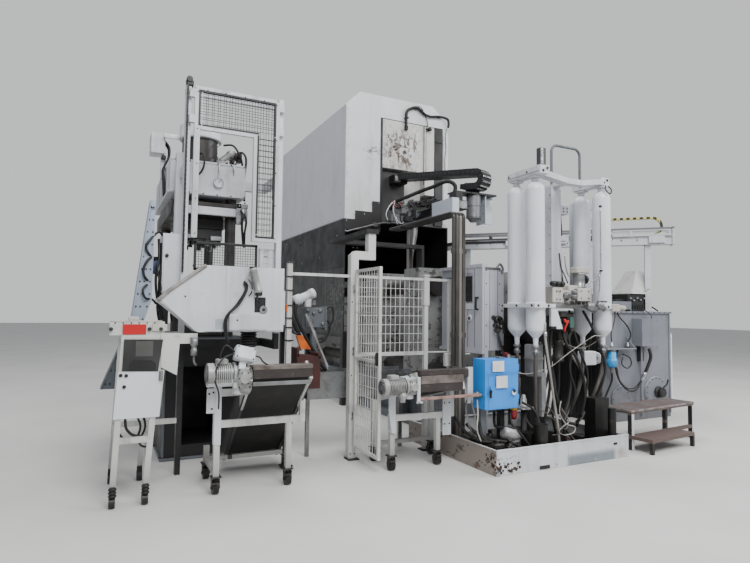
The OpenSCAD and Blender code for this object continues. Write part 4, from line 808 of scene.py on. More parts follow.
# Ribbed hose loop, cables and valves beside the arm
part = Piece("arm_hose", rubber)
part.ribbed([
    (-400, 1720, 3455), (-262, 1550, 3515), (-96, 1400, 3598), (42, 1200, 3657), (115, 1050, 3701),
    (186, 950, 3703), (250, 900, 3643), (252, 895, 3556), (212, 900, 3455), (200, 900, 3330),
], 34, 10, 5)
part.tube([(-420, 1760, 3440), (-440, 1800, 3400), (-400, 1830, 3330)], 30)

part = Piece("arm_valves", steel)
for x, y, z, a, b, c in (
        (-320, 1640, 3250, 130, 70, 120), (-180, 1650, 3200, 90, 60, 90), (-60, 1640, 3330, 70, 60, 130),
        (-150, 1640, 3400, 110, 70, 60), (-430, 1680, 3120, 90, 60, 90), (-300, 1690, 3420, 80, 60, 60)):
    part.box((x, y, z), (x + a, y + b + 60, z + c), 6)
for x, z in ((-280, 3380), (-200, 3300), (-30, 3470), (30, 3440), (-120, 3480)):
    part.cyl((x, 1600, z), (x, 1700, z), 24, 14)
    part.bolt((x, 1600, z), FRONT, 17, 16)
part.box((-470, 1700, 3080), (-40, 1730, 3240), 4)

part = Piece("arm_valves_dark", dark)
for x, y, z, a, b, c in (
        (-250, 1600, 3120, 150, 90, 90), (-90, 1620, 3180, 60, 70, 160), (-10, 1500, 3380, 90, 120, 80),
        (-400, 1630, 3330, 80, 80, 60), (20, 1350, 3370, 60, 60, 70), (60, 1180, 3370, 50, 50, 60)):
    part.box((x, y, z), (x + a, y + b, z + c), 8)
for y in (1240, 1330, 1420):
    part.tube([(60, y, 3340), (55, y, 3440), (95, y - 10, 3470), (130, y, 3400), (130, y, 3345)], 13)

Piece("arm_cables", black).hoses([
    (11, (-400, 1700, 3440), (-500, 1680, 3360), (-560, 1690, 3220), (-520, 1700, 3120),
     (-420, 1710, 3110)),
    (10, (-380, 1690, 3440), (-330, 1600, 3330), (-360, 1600, 3180), (-300, 1640, 3090)),
    (12, (-200, 1620, 3460), (-120, 1560, 3340), (-150, 1600, 3210), (-200, 1680, 3200)),
    (10, (-60, 1600, 3470), (20, 1560, 3330), (-20, 1580, 3200), (-90, 1680, 3150)),
    (12, (30, 1520, 3460), (100, 1420, 3480), (110, 1300, 3400), (120, 1200, 3350)),
    (9, (-30, 1640, 3450), (60, 1600, 3500), (150, 1500, 3420), (190, 1400, 3345)),
])

Piece("arm_cables_light", bottle_white).hoses([
    (7, (-410, 1690, 3462), (-520, 1660, 3370), (-590, 1660, 3220), (-545, 1680, 3118)),
    (6, (-400, 1680, 3190), (-375, 1650, 3118), (-322, 1640, 3077), (-262, 1650, 3100)),
    (6, (-410, 1690, 3450), (-470, 1640, 3300), (-440, 1630, 3180), (-380, 1650, 3060)),
])

Piece("arm_cables_red", red).hoses([
    (6, (-430, 1680, 3462), (-470, 1650, 3410), (-420, 1640, 3360), (-350, 1660, 3340)),
    (6, (-350, 1680, 3450), (-310, 1650, 3400), (-340, 1640, 3330)),
])

part = Piece("flex_duct", steel, slot="machine_grey")
part.ribbed([
    (-70, 1760, 3240), (-30, 1700, 3100), (-22, 1690, 2955), (-55, 1690, 2753), (-106, 1680, 2567),
    (-140, 1640, 2380), (-150, 1600, 2195),
], 52, 16, 6, 16)

part = Piece("arm_pipe", steel)
part.tube([
    (-1060, 2270, 2990), (-1050, 2215, 2965), (-900, 2210, 3010), (-420, 2205, 3150), (-250, 2180, 3160),
], 13, 8)
part.box((-560, 2190, 3080), (-470, 2290, 3150), 8)

# Unit at the arm's end: holes, rings, bolts and side plate
part = Piece("unit_holes", dark)
for x in (505, 560, 615):
    part.cyl((x, 708, 3094), (x, 712, 3094), 15, 16, 1)
part.box((430, 690, 3486), (930, 700, 3516), 3)

part = Piece("unit_rings", steel)
for z in (3132, 3300, 3470):
    part.lathe((560, 820, z), (560, 820, z + 14), [(0, 116), (2, 121), (12, 121), (14, 116)], 28)
part.bolt_circle((560, 820, 3510), 95, 6, UP, 10, 9)

part = Piece("unit_plate_bolts", oily)
for z in (3080, 3200, 3330, 3440):
    part.bolt((717, 760, z), LEFT, 8, 6)
    part.bolt((880, 940, z), FRONT, 8, 6)

part = Piece("unit_side", plate_light)
part.box((800, 926, 3068), (1028, 936, 3505), 3)
part.box((790, 880, 3495), (1028, 936, 3507), 3)

# Press: gauge, pipes and bolts on the crown
crown_front = front_of("press_crown")
gauge_x, gauge_z = -3642, 3014

part = Piece("gauge_rim", bright)
part.lathe((gauge_x, crown_front + 2, gauge_z), (gauge_x, crown_front - 40, gauge_z),
           [(0, 56), (38, 56), (42, 52), (40, 46), (30, 46)], 28)
part.cyl((gauge_x, crown_front - 18, 3060), (gauge_x, crown_front - 18, 3110), 10)

part = Piece("gauge_face", bottle_white)
part.lathe((gauge_x, crown_front - 20, gauge_z), (gauge_x, crown_front - 33, gauge_z),
           [(0, 46), (13, 46)], 28)

part = Piece("gauge_hand", dark)
hand = Matrix.Translation((gauge_x, crown_front - 36, gauge_z)) @ Matrix.Rotation(0.7, 4, "Y")
part.box((-3, -2, -8), (3, 2, 34), 1, hand)
for k in range(-4, 5):
    part.box((-2, -1, 34), (2, 1, 42), 0, place((gauge_x, crown_front - 34, gauge_z), (30 * k, "Y")))

Piece("crown_pipes", bright).hoses([
    (8, (gauge_x, crown_front - 18, 3100), (gauge_x + 2, crown_front - 20, 3210),
     (gauge_x - 4, crown_front + 30, 3320), (gauge_x - 2, crown_front + 60, 3440),
     (gauge_x + 10, crown_front + 130, 3500)),
    (11, (-3520, -90, 3180), (-3525, -60, 3250), (-3500, 20, 3330), (-3400, 120, 3380), (-3330, 300, 3390)),
    (9, (-3470, -95, 3120), (-3475, -110, 3200), (-3450, -60, 3290), (-3420, 60, 3300)),
])

Piece("crown_hoses", black).hoses([
    (10, (-3860, 10, 3330), (-3820, -90, 3330), (-3800, -125, 3250), (-3812, -130, 3160),
     (-3850, -112, 3095), (-3900, -104, 3080)),
    (13, (-3420, 90, 3420), (-3360, -20, 3420), (-3330, -80, 3320), (-3345, -70, 3100), (-3330, -40, 2850)),
    (12, (-3560, 60, 3500), (-3470, -40, 3480), (-3390, -60, 3350), (-3350, 0, 3240)),
])

part = Piece("crown_cylinder", alloy, slot="bare_steel")
part.lathe((-3610, -20, 3285), (-3440, 60, 3443),
           [(0, 26), (10, 34), (150, 34), (156, 44), (205, 44), (214, 36), (232, 36), (238, 30)], 18)
part.box((-3660, -60, 3244), (-3560, 20, 3285), 6)

part = Piece("crown_valves", oily)
for x, z in ((-3760, 3244), (-3500, 3244), (-3440, 3320)):
    part.box((x, 40, z), (x + 90, 120, z + 110), 8)
    part.cyl((x + 45, 30, z + 60), (x + 45, -20, z + 60), 22)
part.bolt_circle((-3800, 200, 3305), 222, 12, UP, 13, 12)

part = Piece("crown_plates", white)
for a, b, c, d in ((-4146, 2868, -3344, 2890), (-4146, 3222, -3344, 3240)):
    part.box((a, crown_front - 8, b), (c, crown_front + 2, d), 3)
for y in range(120, 1500, 330):
    part.box((-4160, y, 2870), (-4149, y + 14, 3238), 2)
part.box((-4170, -96, 2866), (-4149, 1590, 2894), 4)

part = Piece("crown_bolts", oily)
for x in range(-4100, -3340, 150):
    part.bolt((x, crown_front - 8, 2879), FRONT, 9, 7)
    part.bolt((x, crown_front - 8, 3231), FRONT, 9, 7)
for x, y in ((-4010, 100), (-3480, 100), (-4010, 1400), (-3480, 1400)):
    part.lathe((x, y, 3244), (x, y, 3310), [(0, 62), (40, 62), (48, 54), (66, 54)], 6, False)

part = Piece("cap_ring", white)
part.lathe((-3800, 200, 3542), (-3800, 200, 3712),
           [(0, 232), (4, 237), (20, 237), (24, 232), (130, 232), (158, 214), (170, 150)], 36)

part = Piece("press_fittings", bright)
part.box((-3440, -150, 2560), (-3380, -108, 2800), 6)
part.box((-3440, -150, 2740), (-3310, -112, 2800), 6)
part.box((-3345, -150, 2600), (-3318, -112, 2760), 5)
for z in (2590, 2680, 2770):
    part.bolt((-3410, -150, z), FRONT, 9, 8)

Piece("press_fitting_hoses", black).hoses([
    (14, (-3390, -140, 2720), (-3370, -180, 2660), (-3380, -170, 2560), (-3360, -130, 2420),
     (-3340, -90, 2320)),
    (12, (-3350, -140, 2690), (-3330, -170, 2600), (-3345, -150, 2450), (-3330, -90, 2310)),
    (10, (-3330, -60, 2830), (-3310, -90, 2700), (-3330, -110, 2500), (-3320, -60, 2320)),
])

# Ram and table fixtures
part = Piece("ram_front", white, body="ram")
part.box((-4100, -98, 2650), (-3390, -68, 2742), 8)
for x in range(-4060, -3400, 110):
    part.bolt((x, -98, 2725), FRONT, 9, 8)

part = Piece("ram_tools", dark, body="ram")
part.box((-3960, 120, 2520), (-3530, 900, 2650), 10)
part.box((-3950, 125, 2400), (-3540, 800, 2525), 10)

part = Piece("ram_pins", bright, body="ram")
for x in (-3920, -3850, -3700, -3570):
    for y in (155, 420, 760):
        part.cyl((x, y, 2330), (x, y, 2410), 26)
part.box((-3673, 100, 2390), (-3540, 126, 2442), 4)
part.box((-3950, 100, 2400), (-3890, 126, 2450), 4)

part = Piece("table_tools", oily)
part.box((-3990, 40, 1300), (-3500, 740, 1350), 8)
for x, y, a, b, h in (
        (-3960, 90, 150, 120, 160), (-3760, 60, 190, 110, 110), (-3560, 100, 60, 90, 210),
        (-3940, 500, 380, 120, 130), (-3700, 300, 120, 120, 170)):
    part.box((x, y, 1348), (x + a, y + b, 1350 + h), 8)
for x in (-3975, -3515):
    for y in (60, 390, 720):
        part.bolt((x, y, 1350), UP, 15, 14)
for y in (200, 640, 1080):
    part.box((-4130, y, 1298), (-4010, y + 60, 1330), 5)

part = Piece("table_blocks", cream)
part.box((-3700, 150, 1460), (-3520, 260, 1530), 8)
part.box((-3560, 40, 1350), (-3500, 90, 1600), 8)

part = Piece("base_edges", grey)
part.box((-4150, -124, 1270), (-3340, -116, 1290), 2)
for x in (-4140, -3350):
    part.box((x - 10, -106, 30), (x + 12, -98, 1170), 2)
for z in (350, 760, 1120):
    part.box((-4153, 60, z), (-4146, 1500, z + 14), 2)
part.box((-4170, -140, 0), (-3320, 1620, 24), 5)

part = Piece("base_bolts", oily)
for x in (-4120, -3900, -3600, -3370):
    part.bolt((x, -120, 1240), FRONT, 12, 10)
for x, y in ((-4158, -60), (-3332, -60), (-4158, 1500), (-3332, 1500)):
    part.bolt((x, y, 20), UP, 16, 18)

# Mesh screen, cage, cable guides and door fittings at the press's front
part = Piece("screen_frame", dark)
for a, b in (
        ((-3960, 2255), (-3320, 2280)), ((-3960, 1990), (-3320, 2015)), ((-3960, 1990), (-3935, 2280)),
        ((-3345, 1990), (-3320, 2280)), ((-3655, 2000), (-3635, 2270))):
    part.box((a[0], -662, a[1]), (b[0], -640, b[1]), 3)
for x in (-3955, -3335):
    part.box((x, -645, 2030), (x + 14, -560, 2050), 2)

part = Piece("screen_mesh", black)
for x in range(-3940, -3330, 26):
    part.box((x, -653, 2010), (x + 4, -650, 2260))
for z in range(2020, 2260, 26):
    part.box((-3940, -656, z), (-3335, -653, z + 4))

part = Piece("cage", white)
part.box((-3290, -630, 2010), (-3245, -585, 2250), 5)
for z in (2020, 2090, 2160, 2235):
    part.box((-3250, -612, z), (-3085, -600, z + 12), 2)
for x in (-3200, -3140, -3090):
    part.box((x, -612, 2015), (x + 12, -600, 2250), 2)
part.box((-3245, -612, 2160), (-3200, -604, 2230), 2)

part = Piece("door_guide", black)
part.box((-4076, -700, 1960), (-4058, -676, 3850), 2)
part.box((-4080, -690, 3840), (-4012, -600, 3900), 8)
for z in range(2000, 3840, 46):
    part.box((-4079, -704, z), (-4057, -698, z + 20), 2)
part.cyl((-4052, -700, 3905), (-4052, -600, 3905), 30)

part = Piece("rail_bolts", oily)
for z in range(300, 1950, 250):
    part.bolt((-4066, -674, z), FRONT, 8, 6)

part = Piece("door_bolts", oily, body="lift_door")
for x in (-3968, -3160):
    for z in (2350, 2700, 3050, 3400, 3780):
        part.bolt((x, -720, z), FRONT, 7, 5)
for x in (-3880, -3700, -3500, -3300):
    part.bolt((x, -720, 3808), FRONT, 7, 5)

part = Piece("door_seams", fence_white, body="lift_door")
for x, z, height in ((-3935, 3400, 380), (-3202, 2378, 380), (-3395, 3375, 8)):
    part.box((x, -724, z), (x + 8, -719, z + height), 1)
part.box((-3380, -723, 2376), (-3200, -719, 2384), 1)

# Control box, box above it, and its pipes
part = Piece("control_box", white)
part.box((-4238, -602, 1770), (-4052, -592, 2336), 4)
part.box((-4246, -596, 1758), (-4044, -590, 2346), 3)
for z in (1840, 2270):
    part.cyl((-4048, -604, z - 25), (-4048, -604, z + 25), 9, 10)

part = Piece("control_lock", black)
part.lathe((-4206, -600, 2125), (-4206, -622, 2125), [(0, 17), (16, 17), (22, 13)], 16)
part.cyl((-4140, -594, 1742), (-4140, -594, 1765), 22)
for x in (-4200, -4080):
    part.tube([(x, -500, 1765), (x - 10, -520, 1640), (x - 60, -520, 1560), (x - 40, -400, 1480)], 11)

part = Piece("top_box", white)
part.box((-4316, 342, 3390), (-4174, 352, 3596), 3)
part.cyl((-4190, 300, 3590), (-3985, 300, 3590), 26, 16)

part = Piece("top_box_hoses", black)
for k in range(3):
    part.tube([
        (-4170, 420 + 40 * k, 3560), (-4120, 400 + 40 * k, 3480), (-4125, 390 + 40 * k, 3360),
        (-4180, 380 + 40 * k, 3220), (-4170, 360 + 40 * k, 3080), (-4165, 330 + 30 * k, 2900),
    ], 13)
part.box((-4200, 380, 3340), (-4152, 520, 3380), 6)

# Elevator: bolts, flanges, hoses and motor
ELEVATOR_X = -4660
# The left and right edge's foot, bend and top, as (x, z)
ELEVATOR_EDGES = (((-90, 850), (150, 1490), (285, 2650)), ((60, 850), (325, 1680), (332, 2650)))


def elevator_edge(z, side=0):
    """Left (0) or right (1) edge of the leaning elevator at height z."""
    foot, bend, top = ELEVATOR_EDGES[side]
    (a, z0), (b, z1) = (foot, bend) if z < bend[1] else (bend, top)
    return ELEVATOR_X + a + (b - a) * (z - z0) / (z1 - z0)


part = Piece("elevator_bolts", oily)
for z in range(900, 2620, 120):
    x, w = elevator_edge(z), elevator_edge(z, 1) - elevator_edge(z)
    for d in (16, w - 16) if w < 120 else (22, 60, w - 22):
        part.cyl((x + d, -650, z), (x + d, -663, z), 8, 10, 2)

part = Piece("elevator_flanges", elev)
for z0, z1 in ((860, 1490), (1490, 2640)):
    a, b = elevator_edge(z0), elevator_edge(z1)
    part.loft([[(e + 2, -668, z), (e + 12, -668, z), (e + 12, -650, z), (e + 2, -650, z)]
               for e, z in ((a, z0), (b, z1))])
part.box((-4385, -660, 2560), (-4322, -640, 2640), 6)
part.cyl((-4352, -690, 2600), (-4352, -640, 2600), 20)

Piece("elevator_hoses", black).hoses([
    (12, (-4245, -520, 2330), (-4290, -600, 2352), (-4370, -670, 2260), (-4404, -680, 2190),
     (-4370, -660, 2120), (-4310, -600, 2080)),
    (12, (-4290, -560, 2100), (-4370, -670, 2080), (-4420, -690, 1980), (-4405, -680, 1900),
     (-4350, -620, 1850)),
    (13, (-4280, -540, 2290), (-4275, -580, 2100), (-4300, -590, 1900), (-4280, -580, 1700),
     (-4240, -560, 1560)),
    (16, (-4250, -540, 2250), (-4250, -570, 2050), (-4262, -570, 1850), (-4250, -560, 1650),
     (-4225, -560, 1500)),
    (10, (-4260, -540, 2200), (-4290, -600, 2000), (-4250, -600, 1800), (-4280, -600, 1640),
     (-4260, -560, 1500)),
    (11, (-4380, -660, 1830), (-4420, -690, 1780), (-4395, -690, 1700), (-4330, -620, 1690),
     (-4290, -580, 1650)),
])

part = Piece("elevator_motor", motor_blue)
part.lathe((-4318, -560, 1940), (-4318, -560, 2090), [(0, 34), (8, 42), (130, 42), (150, 30)], 18)

# Chute hood: seam, cylinder, pulley, cable, box lid
part = Piece("chute_seams", white)
part.box((-3722, -1104, 1400), (-3712, -1098, 2004), 1)
for a, b in (((-4300, 1686), (-3990, 1400)), ((-3900, 1398), (-3170, 1404))):
    part.tube([(a[0], -1103, a[1]), (b[0], -1103, b[1])], 4, 6)
part.box((-3696, -1168, 1410), (-3340, -1158, 1550), 3)

part = Piece("chute_edge", edge_grey)
part.tube([
    (-4318, -1102, 1672), (-4230, -1110, 1762), (-4120, -1104, 1846), (-4020, -1110, 1926),
    (-3910, -1102, 2006),
], 17)
part.tube([(-4316, -1100, 1688), (-4240, -1106, 1750), (-4110, -1102, 1856), (-4000, -1104, 1940)], 5)

part = Piece("chute_cylinder", alloy, slot="bare_steel")
part.lathe((-3482, -1140, 2000), (-3418, -1140, 1765),
           [(0, 30), (6, 38), (30, 38), (34, 33), (205, 33), (210, 38), (238, 38), (244, 30)], 20)
part.tube([(-3500, -1140, 2000), (-3540, -1150, 1900), (-3500, -1150, 1800), (-3450, -1145, 1765)], 6)

part = Piece("chute_cylinder_ends", black)
part.box((-3450, -1170, 1735), (-3390, -1110, 1775), 8)
part.box((-3510, -1165, 1996), (-3450, -1110, 2012), 4)
part.tube([(-3430, -1140, 1740), (-3440, -1150, 1700), (-3400, -1140, 1660)], 9)

Piece("chute_cable", black).hoses([
    (11, (-3560, -1115, 1870), (-3530, -1130, 1810), (-3600, -1135, 1660), (-3690, -1140, 1570),
     (-3722, -1140, 1500), (-3716, -1150, 1380), (-3700, -1160, 1300)),
    (9, (-3560, -1115, 1850), (-3545, -1125, 1790), (-3625, -1130, 1650), (-3705, -1135, 1560),
     (-3736, -1140, 1490), (-3730, -1150, 1370), (-3690, -1160, 1290)),
    (5, (-3530, -1110, 1900), (-3490, -1125, 1850), (-3480, -1120, 1780), (-3510, -1110, 1730)),
])

part = Piece("chute_pulley", bright)
part.lathe((-3362, -1080, 1602), (-3362, -1112, 1602),
           [(0, 36), (6, 40), (12, 33), (20, 33), (26, 40), (32, 36)], 22)

part = Piece("chute_dark", dark)
# Painted shade: a thin dark plate at the back of the recess behind the pulley.
part.box((-3446, -1088, 1564), (-3320, -1084, 1722), 1)
part.lathe((-3362, -1110, 1602), (-3362, -1116, 1602), [(0, 16), (6, 14)], 14)
part.cyl((-3624, -1158, 1502), (-3624, -1172, 1502), 9, 12)
part.cyl((-4087, -1098, 1716), (-4087, -1104, 1716), 8, 12, 1)

part = Piece("chute_plate", plate_grey)
part.box((-3812, -1103, 1418), (-3740, -1099, 1514), 1)

part = Piece("chute_bellows", black)
for k in range(6):
    part.lathe((-3470, -980, 1395 - 26 * k), (-3470, -980, 1369 - 26 * k),
               [(0, 66), (13, 84), (26, 66)], 20)

part = Piece("door_wires", black, body="lift_door")
for x in range(-3929, -3180, 60):
    part.box((x - 2, -702, 3439), (x + 2, -698, 3799))
for z in range(3469, 3799, 60):
    part.box((-3959, -703, z - 2), (-3169, -699, z + 2))
for x in range(-3329, -3180, 60):
    part.box((x - 2, -702, 2349), (x + 2, -698, 3439))
for z in range(2379, 3439, 60):
    part.box((-3359, -703, z - 2), (-3169, -699, z + 2))

# Yoke: bolts, collars, plate; bottles' necks, straps and lower pipes
BOTTLES = [(x, y) for x in (-515, 515) for y in (-1750, -1450)]

part = Piece("yoke_bolts", oily)
for x, y, z, d in (
        (-580, -1400, 3165, LEFT), (-580, -1700, 3165, LEFT), (-540, -1900, 3150, FRONT),
        (-480, -1900, 3180, FRONT), (490, -1810, 3150, FRONT), (545, -1810, 3185, FRONT),
        (450, -1700, 3165, LEFT), (450, -1500, 3165, LEFT)):
    part.bolt((x, y, z), d, 15, 12)
for y in (-1800, -1500, -1400):
    part.bolt((-515, y, 3212), UP, 14, 12)
    part.bolt((515, y + 30, 3212), UP, 14, 12)

part = Piece("yoke_collars", white)
for x, y in BOTTLES:
    part.box((x - 58, y - 58, 3096), (x + 58, y + 58, 3120), 5)
    part.lathe((x, y, 3058), (x, y, 3098), [(0, 34), (6, 40), (30, 40), (40, 34)], 20)
part.box((-590, -1880, 3150), (-582, -1370, 3205), 2)

part = Piece("yoke_tab", bright)
part.box((-541, -1872, 3230), (-505, -1858, 3405), 4)
for z in (3260, 3320, 3380):
    part.bolt((-524, -1872, z), FRONT, 9, 7)

part = Piece("bottle_rings", bottle_white)
for x, y in BOTTLES:
    part.lathe((x, y, 1652), (x, y, 1722), [(0, 104), (5, 110), (64, 110), (70, 104)], 36)

part = Piece("flange_bolts", black)
for x, y in ((-600, -1883), (-455, -1883), (460, -1883), (600, -1883)):
    part.bolt((x, y, 1685), FRONT, 13, 10)
for y in (-1840, -1600, -1360):
    part.bolt((-648, y, 1685), LEFT, 13, 10)

part = Piece("bottle_valves", steel)
for x, y in BOTTLES:
    part.lathe((x, y, 1250), (x, y, 1170),
               [(0, 34), (10, 40), (26, 40), (30, 26), (60, 26), (64, 36), (80, 36)], 18)
    part.box((x - 30, y - 24, 1150), (x + 30, y + 24, 1176), 5)

Piece("bottle_pipes", pipe).hoses([
    (21, (-515, -1750, 1160), (-515, -1745, 1000), (-490, -1720, 800), (-470, -1700, 560),
     (-400, -1640, 330), (-300, -1560, 240)),
    (21, (-515, -1450, 1160), (-510, -1450, 900), (-470, -1450, 620), (-380, -1440, 380),
     (-260, -1440, 260)),
    (21, (515, -1750, 1160), (510, -1740, 960), (460, -1700, 740), (360, -1640, 480), (240, -1600, 330)),
    (21, (515, -1450, 1160), (515, -1440, 900), (450, -1420, 640), (330, -1400, 420), (220, -1400, 260)),
])

Piece("under_hoses", rubber).hoses([
    (17, (-426, -1790, 1640), (-420, -1800, 1400), (-396, -1800, 1250), (-350, -1790, 1000),
     (-250, -1780, 700), (-160, -1790, 420), (-130, -1800, 60)),
    (16, (-300, -1700, 1420), (-330, -1720, 1150), (-300, -1740, 850), (-340, -1730, 560),
     (-380, -1700, 280)),
    (15, (-230, -1690, 1410), (-260, -1700, 1100), (-200, -1710, 800), (-230, -1700, 520),
     (-160, -1680, 260)),
    (18, (-60, -1690, 1400), (-40, -1740, 1240), (60, -1760, 1130), (180, -1760, 900), (230, -1740, 640),
     (200, -1700, 420)),
    (14, (40, -1640, 1400), (80, -1680, 1180), (40, -1700, 950), (120, -1700, 700), (60, -1660, 420)),
    (15, (250, -1700, 1640), (330, -1760, 1450), (420, -1800, 1200), (520, -1780, 980), (470, -1740, 700),
     (340, -1720, 480)),
    (13, (180, -1560, 1640), (160, -1650, 1400), (220, -1690, 1150), (330, -1690, 900), (300, -1660, 560),
     (200, -1640, 300)),
])

Piece("under_cables", cleat).hoses([
    (6, (-100, -1690, 1300), (120, -1720, 1210), (300, -1760, 1240), (460, -1790, 1340)),
    (6, (-350, -1720, 620), (-300, -1800, 500), (-160, -1810, 330), (-90, -1800, 420), (-180, -1780, 560)),
    (5, (-420, -1700, 560), (-300, -1800, 440), (-220, -1800, 300), (-330, -1800, 280)),
])

# Valve group on the shot cylinder's plate
part = Piece("valve_blocks", cream)
part.box((-300, -1796, 1722), (-150, -1770, 1896), 8)
part.box((78, -1798, 1742), (282, -1770, 1896), 8)
part.box((-150, -1780, 1712), (-40, -1640, 1860), 8)
part.box((-30, -1770, 1712), (60, -1620, 1884), 8)
part.box((105, -1760, 2070), (305, -1640, 2140), 10)
part.box((-30, -1760, 1880), (120, -1640, 1925), 6)

part = Piece("valve_steel", steel)
part.lathe((197, -1700, 1895), (197, -1700, 2072),
           [(0, 72), (14, 78), (20, 66), (150, 66), (156, 74), (177, 74)], 28)
for x, z, r in ((-95, 1800, 46), (15, 1790, 34), (15, 1850, 26), (-95, 1730, 30)):
    part.lathe((x, -1780, z), (x, -1830, z),
               [(0, r), (20, r), (24, r * 0.8), (44, r * 0.8), (50, r * 0.6)], 20)
for x, z in (
        (-200, 1850), (-250, 1850), (120, 1860), (240, 1860), (120, 1780), (240, 1780), (-200, 1760),
        (-250, 1760)):
    part.bolt((x, -1798, z), FRONT, 10, 9)
part.box((-352, -1800, 1662), (352, -1790, 1704), 4)
part.lathe((150, -1850, 1700), (260, -1900, 1640), [(0, 40), (20, 48), (80, 48), (84, 34), (125, 34)], 18)
part.lathe((300, -1860, 1720), (390, -1900, 1650), [(0, 34), (14, 42), (70, 42), (80, 30), (115, 30)], 18)

part = Piece("solenoids", black)
for x in (-325, -255, -190):
    part.lathe((x, -1790, 1930), (x + 60, -1790, 1935),
               [(0, 24), (6, 29), (46, 29), (50, 20), (60, 20)], 14)
part.box((-270, -1800, 1898), (-130, -1740, 1960), 8)
part.lathe((285, -1720, 2000), (250, -1720, 2000), [(0, 40), (8, 52), (24, 52), (35, 44)], 20)
part.box((-60, -1800, 1706), (20, -1770, 1745), 5)
for x in (90, 150, 210):
    part.box((x, -1800, 1706), (x + 36, -1780, 1748), 5)
part.box((-385, -1850, 1430), (-300, -1810, 1462), 6)

Piece("valve_pipes", bright).hoses([
    (9, (230, -1800, 1955), (300, -1812, 1990), (381, -1820, 2024), (402, -1824, 2085), (384, -1830, 2112)),
    (7, (346, -1860, 2060), (346, -1862, 1900), (325, -1860, 1810), (314, -1850, 1730)),
    (7, (372, -1858, 2850), (371, -1860, 2500), (371, -1860, 2120)),
    (8, (110, -1560, 2310), (112, -1580, 2150), (130, -1600, 2050), (150, -1640, 2040)),
])

part = Piece("pipe_clips", dark)
for z in (2850, 2100):
    part.box((355, -1872, z - 12), (392, -1846, z + 12), 4)
part.box((310, -1880, 1735), (450, -1862, 1752), 4)

part = Piece("side_fittings", cream)
part.box((520, -1900, 1632), (640, -1870, 1718), 8)
part.lathe((640, -1870, 1680), (800, -1830, 1672),
           [(0, 22), (20, 30), (50, 30), (54, 20), (90, 20), (94, 32), (130, 32), (140, 18), (165, 18)], 16)

part = Piece("side_tube", bottle_white)
part.lathe((600, -1250, 1730), (600, -1250, 3040),
           [(0, 30), (10, 60), (1250, 60), (1285, 45), (1310, 16)], 24)
part.box((560, -1330, 2700), (690, -1230, 2790), 6)
part.box((560, -1330, 1700), (640, -1200, 1740), 6)

part = Piece("side_brackets", white)
part.box((617, -1500, 2895), (760, -1440, 2985), 5)
part.box((617, -1500, 2690), (740, -1440, 2780), 5)

part = Piece("red_valve", red)
part.tube([(-80, -1730, 1540), (-60, -1760, 1500), (-75, -1750, 1450), (-80, -1740, 1400)], 12)
part.box((-100, -1770, 1500), (-30, -1745, 1525), 5)

part = Piece("lower_valves", oily)
for x, z, a, h in ((-130, 1560, 110, 60), (-20, 1480, 80, 120), (20, 1400, 60, 60), (-140, 1420, 90, 70)):
    part.box((x, -1740, z), (x + a, -1640, z + h), 8)
part.lathe((-30, -1600, 1300), (-30, -1600, 1050),
           [(0, 58), (60, 58), (66, 50), (180, 50), (186, 56), (250, 56)], 24)
part.box((-80, -1660, 1300), (60, -1540, 1420), 8)

part = Piece("green_valve", valve_green)
part.box((-10, -1762, 1440), (50, -1742, 1560), 5)

part = Piece("mast_details", lilac)
part.box((-40, -1508, 1960), (-20, -1503, 3090), 1)
part.box((-39, -1509, 3070), (119, -1503, 3078), 1)
for z in (2440, 2470):
    part.box((110, -1500, z), (210, -1430, z + 20), 3)

part = Piece("mast_bolts", oily)
for z in (2450, 2830, 2870):
    for x in (180, 240):
        part.bolt((x, -1480, z), FRONT, 9, 7)
for z in range(2050, 3060, 160):
    part.bolt((-36, -1480, z), LEFT, 7, 5)

Piece("mast_cables", black).hoses([
    (7, (75, -1512, 2320), (85, -1514, 2250), (100, -1514, 2150), (128, -1540, 2060), (120, -1600, 1960)),
    (9, (175, -1420, 2880), (180, -1440, 2700), (170, -1420, 2500), (180, -1430, 2300), (170, -1450, 2000),
     (160, -1500, 1850)),
    (9, (200, -1400, 2860), (210, -1420, 2600), (195, -1410, 2350), (205, -1420, 2100), (190, -1480, 1900)),
    (8, (-515, -1850, 3300), (-470, -1800, 3290), (-400, -1780, 3222), (-200, -1770, 3160)),
    (8, (500, -1830, 3110), (470, -1850, 3060), (520, -1870, 3010), (560, -1860, 3060), (540, -1830, 3110)),
])

part = Piece("shot_bolts", bright)
part.bolt_circle((0, -1400, 1375), 176, 12, FRONT, 13, 12, 0.5)
for sx in (-1, 1):
    for z in (1120, 1240, 1510, 1630):
        part.bolt((sx * 370, -1000, z), FRONT, 16, 14)

# Guard panels: seams, ribs, vent, lock, eye bolt and pipes
guard_front = front_of("shot_guard")

part = Piece("guard_seams", seam_grey)
for x in (-590, -470):
    part.box((x, guard_front - 4, 1160), (x + 5, guard_front + 2, 2145), 1)
part.box((-656, guard_front - 7, 2120), (-425, guard_front + 2, 2150), 3)

part = Piece("guard_ribs", rib_grey, body="guard_door")
for y in (-900, -760, -640):
    part.box((-698, y, 1180), (-692, y + 7, 2140), 1)

part = Piece("guard_side", lilac)
part.box((-419, -1010, 1200), (-338, -960, 2090), 6)
part.box((-419, -1016, 1196), (-410, -960, 2094), 2)

part = Piece("guard_vent", dark, body="guard_door")
for z in range(1745, 2050, 22):
    part.box((-702, -840, z), (-688, -730, z + 12), 1)
for y in (-845, -805, -765, -728):
    part.box((-704, y, 1735), (-688, y + 8, 2055), 1)

part = Piece("guard_lock", bottle_white, body="guard_door")
part.lathe((-692, -800, 1530), (-706, -800, 1530), [(0, 44), (10, 44), (14, 38)], 24)
part.box((-700, -870, 1640), (-692, -730, 1710), 3)

